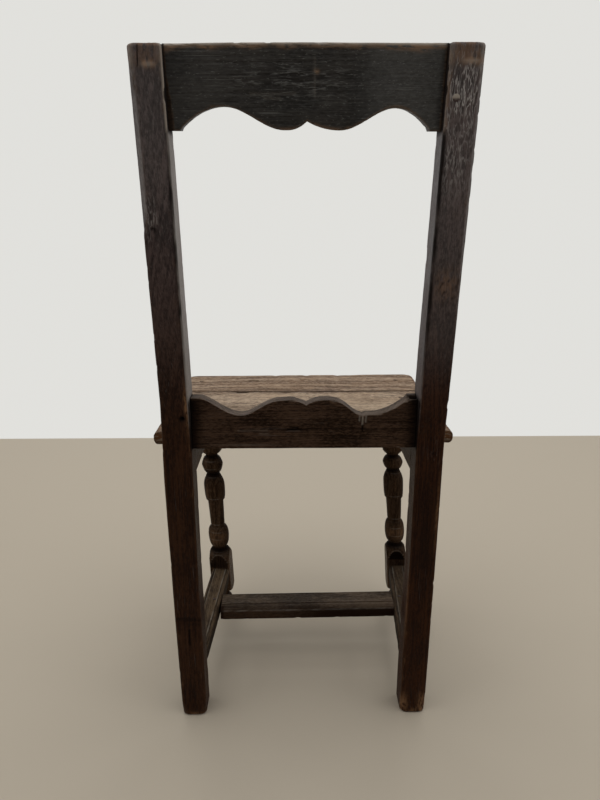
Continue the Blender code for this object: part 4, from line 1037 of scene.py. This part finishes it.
for side, sign in sides.items():
    node, look = side + "_front_leg", forSide(legLook, side)
    lowAt, highAt = look["cutsAt"]
    lowCut, highCut = (cutThrough(node, 2, at) for at in (lowAt, highAt))
    stock = (highCut[1] - highCut[0])[1] * look["wide"]
    heights, lathed = legProfile(look, stock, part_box(node)[1].z)
    turn = np.arange(look["sidesRound"]) * 2 * math.pi / look["sidesRound"]
    power = look["squareness"]
    sideways, lengthways = np.abs(np.cos(turn)), np.abs(np.sin(turn))
    square = stock / 2 / (sideways ** power + lengthways ** power) ** (1 / power)
    radius = np.minimum(lathed, square)
    footAt, topAt = (sum(cut)[0] / 2 for cut in (lowCut, highCut))
    z = np.broadcast_to(heights, radius.shape)
    x = footAt + (topAt - footAt) * (z - lowAt) / (highAt - lowAt) + radius * np.cos(turn + look["twist"])
    y = sum(highCut)[1] / 2 + radius * np.sin(turn + look["twist"])
    isSquare = lathed > square
    fromCorner = np.abs(np.mod(turn, quarterTurn) - quarterTurn / 2) * stock / 2
    cornerArris = np.exp(-fromCorner / 0.004) * isSquare
    rimArris = np.exp(-np.abs(lathed - square) / 0.0009)
    leg = newPiece(np.stack([x, y, z], -1), np.maximum(cornerArris, 0.8 * rimArris))
    belt = hump(heights - look["lowBall"], look["beltTall"])
    # painted shade on the turned sides that face left and right
    deepen(leg, "grime", look["sideShade"] * smooth(0.45, 0.97, sideways) * ~isSquare)
    deepen(leg, "grime", look["darker"] * (1 - belt) * ~isSquare)
    # a rubbed belt round the lower ball, which also stands in for its lit sheen
    deepen(leg, "rub", look["bellyWearAndSheen"] * belt * ~isSquare)
    # painted shade in the necks
    for ring, (shaded, tall, shift) in look["neckShade"].items():
        deepen(leg, "grime", shaded * hump(heights - np.mean(look[ring]) - shift, tall))
    # the flat above the stretcher, at the back of the block, has painted shade, nearly black, under a painted
    # highlight along its rim
    onFlat = isSquare * smooth(0.70, 0.62, sideways) * (np.sin(turn) > 0)
    aboveArch = z + look["archRound"] * radius * sideways ** 3 - look["archTop"]
    aboveFeet = [smooth(*foot, z) for foot in ((stretcherTops[side] - 0.001, stretcherTops[side] + 0.001),
                                               (look["archFoot"], look["archFoot"] + 0.002))]
    deepen(leg, "grime", look["archShade"] * onFlat * sum(aboveFeet) / 2 * smooth(0.001, -0.001, aboveArch))
    deepen(leg, "film", look["rimGlint"] * onFlat * hump(aboveArch - 0.0018, 0.0011))
    # painted highlights just above the lathe lines, strongest facing front and back
    shown = look["lineGlint"][0] + look["lineGlint"][1] * smooth(0.78, 0.97, lengthways)
    for line in look["lines"]:
        deepen(leg, "film", shown * hump(heights - line - 0.0016, 0.0008))
    closeEnds(leg)
    ageSurface(leg, 2, turnedWear, 61.0 + 3 * sign)
    keepInside(leg, node, "front_seat_board", "front_rail")
    makePiece(side + "Leg", leg, turnedOak, "dark_oak", node)
print("turned legs made")

# Plank seat
seatLook = {
    "apart": 0.0026, "edgeRound": 0.006, "corner": 0.022, "seamRound": 0.0009, "dish": 0.0012, "frontRound": 0.003,
    "warp": pair(0.0012, 0.0028), "warpAt": 0.17, "endDirt": 0.38, "earDarkening": (0.12, 0.55), "seamDirt": 0.85,
    "frontCounts": (66, 4), "rearCounts": (110, 4), "frontRub": 0.30, "notchStep": 0.0002,
}
seatWear = {"wave": (0.0006, 7, 20), "furrow": (0.00035, 16, 300), "chip": (0.0035, 40, 75), "chipShow": 0.8}
seatLow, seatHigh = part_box("rear_seat_board")
frontSeatLow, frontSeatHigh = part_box("front_seat_board")
seatHalf = seatHigh.x
endRings = seatHalf - seatLook["edgeRound"] * (1 - np.cos(np.linspace(0, quarterTurn, 7)))


def boardRings(across, frontEdge, rearEdge, frontRound, counts, seamAt):
    fromEnd = seatHalf - np.abs(across)
    halfThick = (seatHigh.z - seatLow.z) / 2 - quarterRound(seatLook["edgeRound"], fromEnd)
    seamRound = seatLook["seamRound"]
    rounds = np.minimum((seamRound, frontRound, frontRound, seamRound), halfThick[:, None] * 0.98)
    loops, near = barRings((rearEdge - frontEdge) / 2, halfThick, rounds, counts, 6, 0.006)
    y = ((rearEdge + frontEdge) / 2)[:, None] + loops[..., 0]
    z = (seatHigh.z + seatLow.z) / 2 + loops[..., 1]
    piece = newPiece(np.stack([np.broadcast_to(across[:, None], y.shape), y, z], -1), near * 0.8)
    atEnd = smooth(0.012, 0.003, fromEnd)[:, None]
    deepen(piece, "arris", atEnd)
    deepen(piece, "rub", atEnd * 0.9)
    deepen(piece, "grime", seatLook["endDirt"] * smooth(0.006, 0.001, fromEnd)[:, None])
    deepen(piece, "grime", seatLook["seamDirt"] * smooth(0.0030, 0.0012, np.abs(y - seamAt)))
    return piece


def wearSeat(piece, seed):
    x, y, z = np.moveaxis(piece["grid"], -1, 0)
    ageSurface(piece, 0, seatWear, seed)
    sat = hump(x, 0.15) * hump(y + 0.03, 0.12)
    piece["grid"][..., 2] -= seatLook["dish"] * sat * smooth(seatLow.z, seatHigh.z, z)


def seatWarp(x, y):
    # how far the front board has curled up towards its front edge
    reach, warp = seatLook["warpAt"], seatLook["warp"]
    return np.interp(x, (-reach, reach), (warp["right"], warp["left"])) * smooth(frontSeatHigh.y, frontSeatLow.y, y)


across = stations(-seatHalf, seatHalf, seatLook["apart"], -endRings, endRings)
frontEdge = frontSeatLow.y + quarterRound(seatLook["corner"], seatHalf - np.abs(across))
frontBoard = boardRings(across, frontEdge, np.full(len(across), frontSeatHigh.y), seatLook["frontRound"],
                        seatLook["frontCounts"], frontSeatHigh.y)
wearSeat(frontBoard, 71.0)
x, y, z = np.moveaxis(frontBoard["grid"], -1, 0)
frontBoard["grid"][..., 2] += seatWarp(x, y) * smooth(seatLow.z, seatHigh.z, z)
deepen(frontBoard, "rub", seatLook["frontRub"])
gouge(frontBoard, (0.0903, -0.1579, seatTop), (0.0763, -0.1577, seatTop), 0.0016, 0.0022)
keepInside(frontBoard, "front_seat_board", "back_rail")
makePiece("frontSeatBoard", frontBoard, seatOak, "seat_oak", "front_seat_board")

notchRear = cutThrough("left_rear_post", 2, seatTop - 0.009)[0][1] - 0.0005
railFront = backLow[1] - 0.0004
steps = np.array((-seatLook["notchStep"], seatLook["notchStep"]))
notchEnds = [sign * (edge + steps) for sign in (-1, 1) for edge in (postInner, postOuter)]
across = stations(-seatHalf, seatHalf, seatLook["apart"], -endRings, endRings, *notchEnds)
besidePost = np.where(np.abs(across) < postOuter, notchRear, seatHigh.y)
rearEdge = np.where(np.abs(across) < postInner, railFront, besidePost)
rearBoard = boardRings(across, np.full(len(across), seatLow.y), rearEdge, seatLook["seamRound"],
                       seatLook["rearCounts"], seatLow.y)
wearSeat(rearBoard, 77.0)
x, y, z = np.moveaxis(rearBoard["grid"], -1, 0)
onEar = smooth(0.004, 0.001, seatHigh.y - y) * (np.abs(x) > postOuter)
earTopDark, earBottomDark = seatLook["earDarkening"]
deepen(rearBoard, "rub", onEar)
# the ear ends are rubbed, and darker towards the bottom
deepen(rearBoard, "grime", onEar * (earTopDark + earBottomDark * smooth(seatHigh.z - 0.008, seatLow.z + 0.002, z)))
deepen(rearBoard, "film", (0.08 + 0.22 * smooth(0.02, -0.08, x)) * smooth(-0.09, 0.02, y))
gouge(rearBoard, (0.1037, -0.0880, seatTop), (0.0889, -0.0880, seatTop), 0.0022, 0.0026)
keepInside(rearBoard, "rear_seat_board")
makePiece("rearSeatBoard", rearBoard, seatOak, "seat_oak", "rear_seat_board")
print("seat made")

# Whittled pegs
pegLook = {
    "sidesRound": 14, "dome": 0.0009, "waist": 0.96, "uneven": 0.07, "thin": 0.95,
    "shrunk": {"left_back_rail_peg": 0.006, "left_crest_peg": 0.0010},
    # how far each ring of a domed end is from the tip, its share of the radius, and how much of an arris it is
    "domed": ((0.0, 0.1, 0.2), (0.15, 0.55, 0.3), (0.5, 0.85, 0.6), (1.0, 1.0, 1.0)),
}


def whittledPeg(node, shrunk=0.0):
    points = np.array([vertex.co for vertex in nodes[node].data.vertices])
    middle = points.mean(0)
    axes = np.linalg.svd(points - middle)[2]
    axis = axes[0] if axes[0][1] + axes[0][2] > 0 else -axes[0]
    along = (points - middle) @ axis
    radius = np.linalg.norm(points - middle - along[:, None] * axis, axis=1).max() * pegLook["thin"]
    turn = np.arange(pegLook["sidesRound"]) * 2 * math.pi / pegLook["sidesRound"]
    start, end = along.min(), along.max() - shrunk
    dome, domed = pegLook["dome"], pegLook["domed"]
    rings = [(start + dome * tip, share, arris) for tip, share, arris in domed]
    rings += [((start + end) / 2, pegLook["waist"], 0.0)]
    rings += [(end - dome * tip, share, arris) for tip, share, arris in domed[::-1]]
    seed = sum(ord(letter) for letter in node) * 0.37
    uneven = np.array([noise.noise(Vector((math.cos(t) * 1.3, math.sin(t) * 1.3, seed))) for t in turn])
    size = radius * (1 - pegLook["uneven"] * (0.5 + 0.5 * uneven))
    spoke = np.cos(turn)[:, None] * axes[1] + np.sin(turn)[:, None] * axes[2]
    grid = np.array([middle + at * axis + spoke * share * size[:, None] for at, share, arris in rings])
    return newPiece(grid, np.array([[arris] for at, share, arris in rings]))


for side in sides:
    for place in ("crest_peg", "back_rail_peg", "side_rail_rear_peg", "side_rail_front_peg", "front_rail_peg",
                  "stretcher_rear_peg", "stretcher_front_peg", "middle_stretcher_peg",
                  "front_seat_peg", "rear_seat_peg", "middle_seat_peg"):
        node = side + "_" + place
        words = place.split("_")
        inSeat = "seat" in words
        shrunk = pegLook["shrunk"].get(node, 0.0)
        if place == "front_seat_peg":
            pegLow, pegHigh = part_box(node)
            shrunk = -float(seatWarp((pegLow.x + pegHigh.x) / 2, (pegLow.y + pegHigh.y) / 2))
        peg = whittledPeg(node, shrunk)
        peg["masks"]["arris"] *= 0.3 if inSeat else 0.7
        # a painted highlight on the upper half of this peg's end
        if node == "right_crest_peg":
            rise = peg["grid"][..., 2] - peg["grid"][..., 2].mean(axis=1, keepdims=True)
            deepen(peg, "pale", smooth(-0.0014, 0.0006, rise))
        finish = seatPegOak if inSeat else postOak if place in ("crest_peg", "back_rail_peg") else pegOak
        makePiece(side + "".join(word.capitalize() for word in words), peg, finish, "peg_oak", node)
print("pegs made")

# Floor, light and camera
stageLook = {
    "floor": (0.60, 0.525, 0.415), "floorRough": 0.75, "floorShine": 0.2, "wall": (0.755, 0.75, 0.72),
    "floorEdges": (2.2, -1.11, 2.2), "ambient": 0.14, "lampsLookAt": (0, 0, 0.6),
    "lamps": {"ceiling": ((3.4, 3.4), (0, 0, 2.5), 36), "farWall": ((3.6, 2.2), (0, -2.4, 1.1), 18),
              "leftWall": ((3.0, 2.2), (2.3, 0.1, 1.1), 15), "rightWall": ((3.0, 2.2), (-2.3, 0.1, 1.1), 16)},
}
floorMesh = bpy.data.meshes.new("floor")
sideEdge, farEdge, nearEdge = stageLook["floorEdges"]
floorCorners = [(-sideEdge, farEdge, 0), (sideEdge, farEdge, 0), (sideEdge, nearEdge, 0), (-sideEdge, nearEdge, 0)]
floorMesh.from_pydata(floorCorners, [], [(0, 1, 2, 3)])
floor = bpy.data.objects.new("floor", floorMesh)
scene.collection.objects.link(floor)
floorPaint = bpy.data.materials.new("floorPaint")
floorPaint.use_nodes = True
floorInputs = floorPaint.node_tree.nodes["Principled BSDF"].inputs
floorInputs["Base Color"].default_value = rgba(stageLook["floor"])
floorInputs["Roughness"].default_value = stageLook["floorRough"]
floorInputs["Specular IOR Level"].default_value = stageLook["floorShine"]
floorMesh.materials.append(floorPaint)
floor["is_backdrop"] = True

world = bpy.data.worlds.new("room")
scene.world = world
world.use_nodes = True
tree = world.node_tree
tree.nodes.clear()
seen = tree.nodes.new("ShaderNodeLightPath").outputs["Is Camera Ray"]
shade = blendColour(tree, seen, rgba((stageLook["ambient"],) * 3), rgba(stageLook["wall"]))
background = addNode(tree, "Background", None, Color=shade, Strength=1.0)
addNode(tree, "OutputWorld", None, Surface=background.outputs[0])


def aim(body, place, direction):
    body.location = place
    body.rotation_mode = "QUATERNION"
    body.rotation_quaternion = direction.to_track_quat("-Z", "Y")
    scene.collection.objects.link(body)


for name, (size, place, watts) in stageLook["lamps"].items():
    lamp = bpy.data.lights.new(name + "Light", "AREA")
    lamp.shape = "RECTANGLE"
    lamp.size, lamp.size_y = size
    lamp.energy = watts
    body = bpy.data.objects.new(name + "Light", lamp)
    body.visible_camera = False
    aim(body, place, Vector(stageLook["lampsLookAt"]) - Vector(place))

cameraLook = {"place": (0.0178, 0.91485, 0.7258), "looks": (-0.01516, -0.9595, -0.2814), "lens": 28.41, "sensor": 36.0}
lens = bpy.data.cameras.new("photoCamera")
lens.lens = cameraLook["lens"]
lens.sensor_width = cameraLook["sensor"]
camera = bpy.data.objects.new("photoCamera", lens)
aim(camera, cameraLook["place"], Vector(cameraLook["looks"]))
scene.camera = camera
scene.view_settings.view_transform = "Standard"

low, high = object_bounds()
print("stage set")
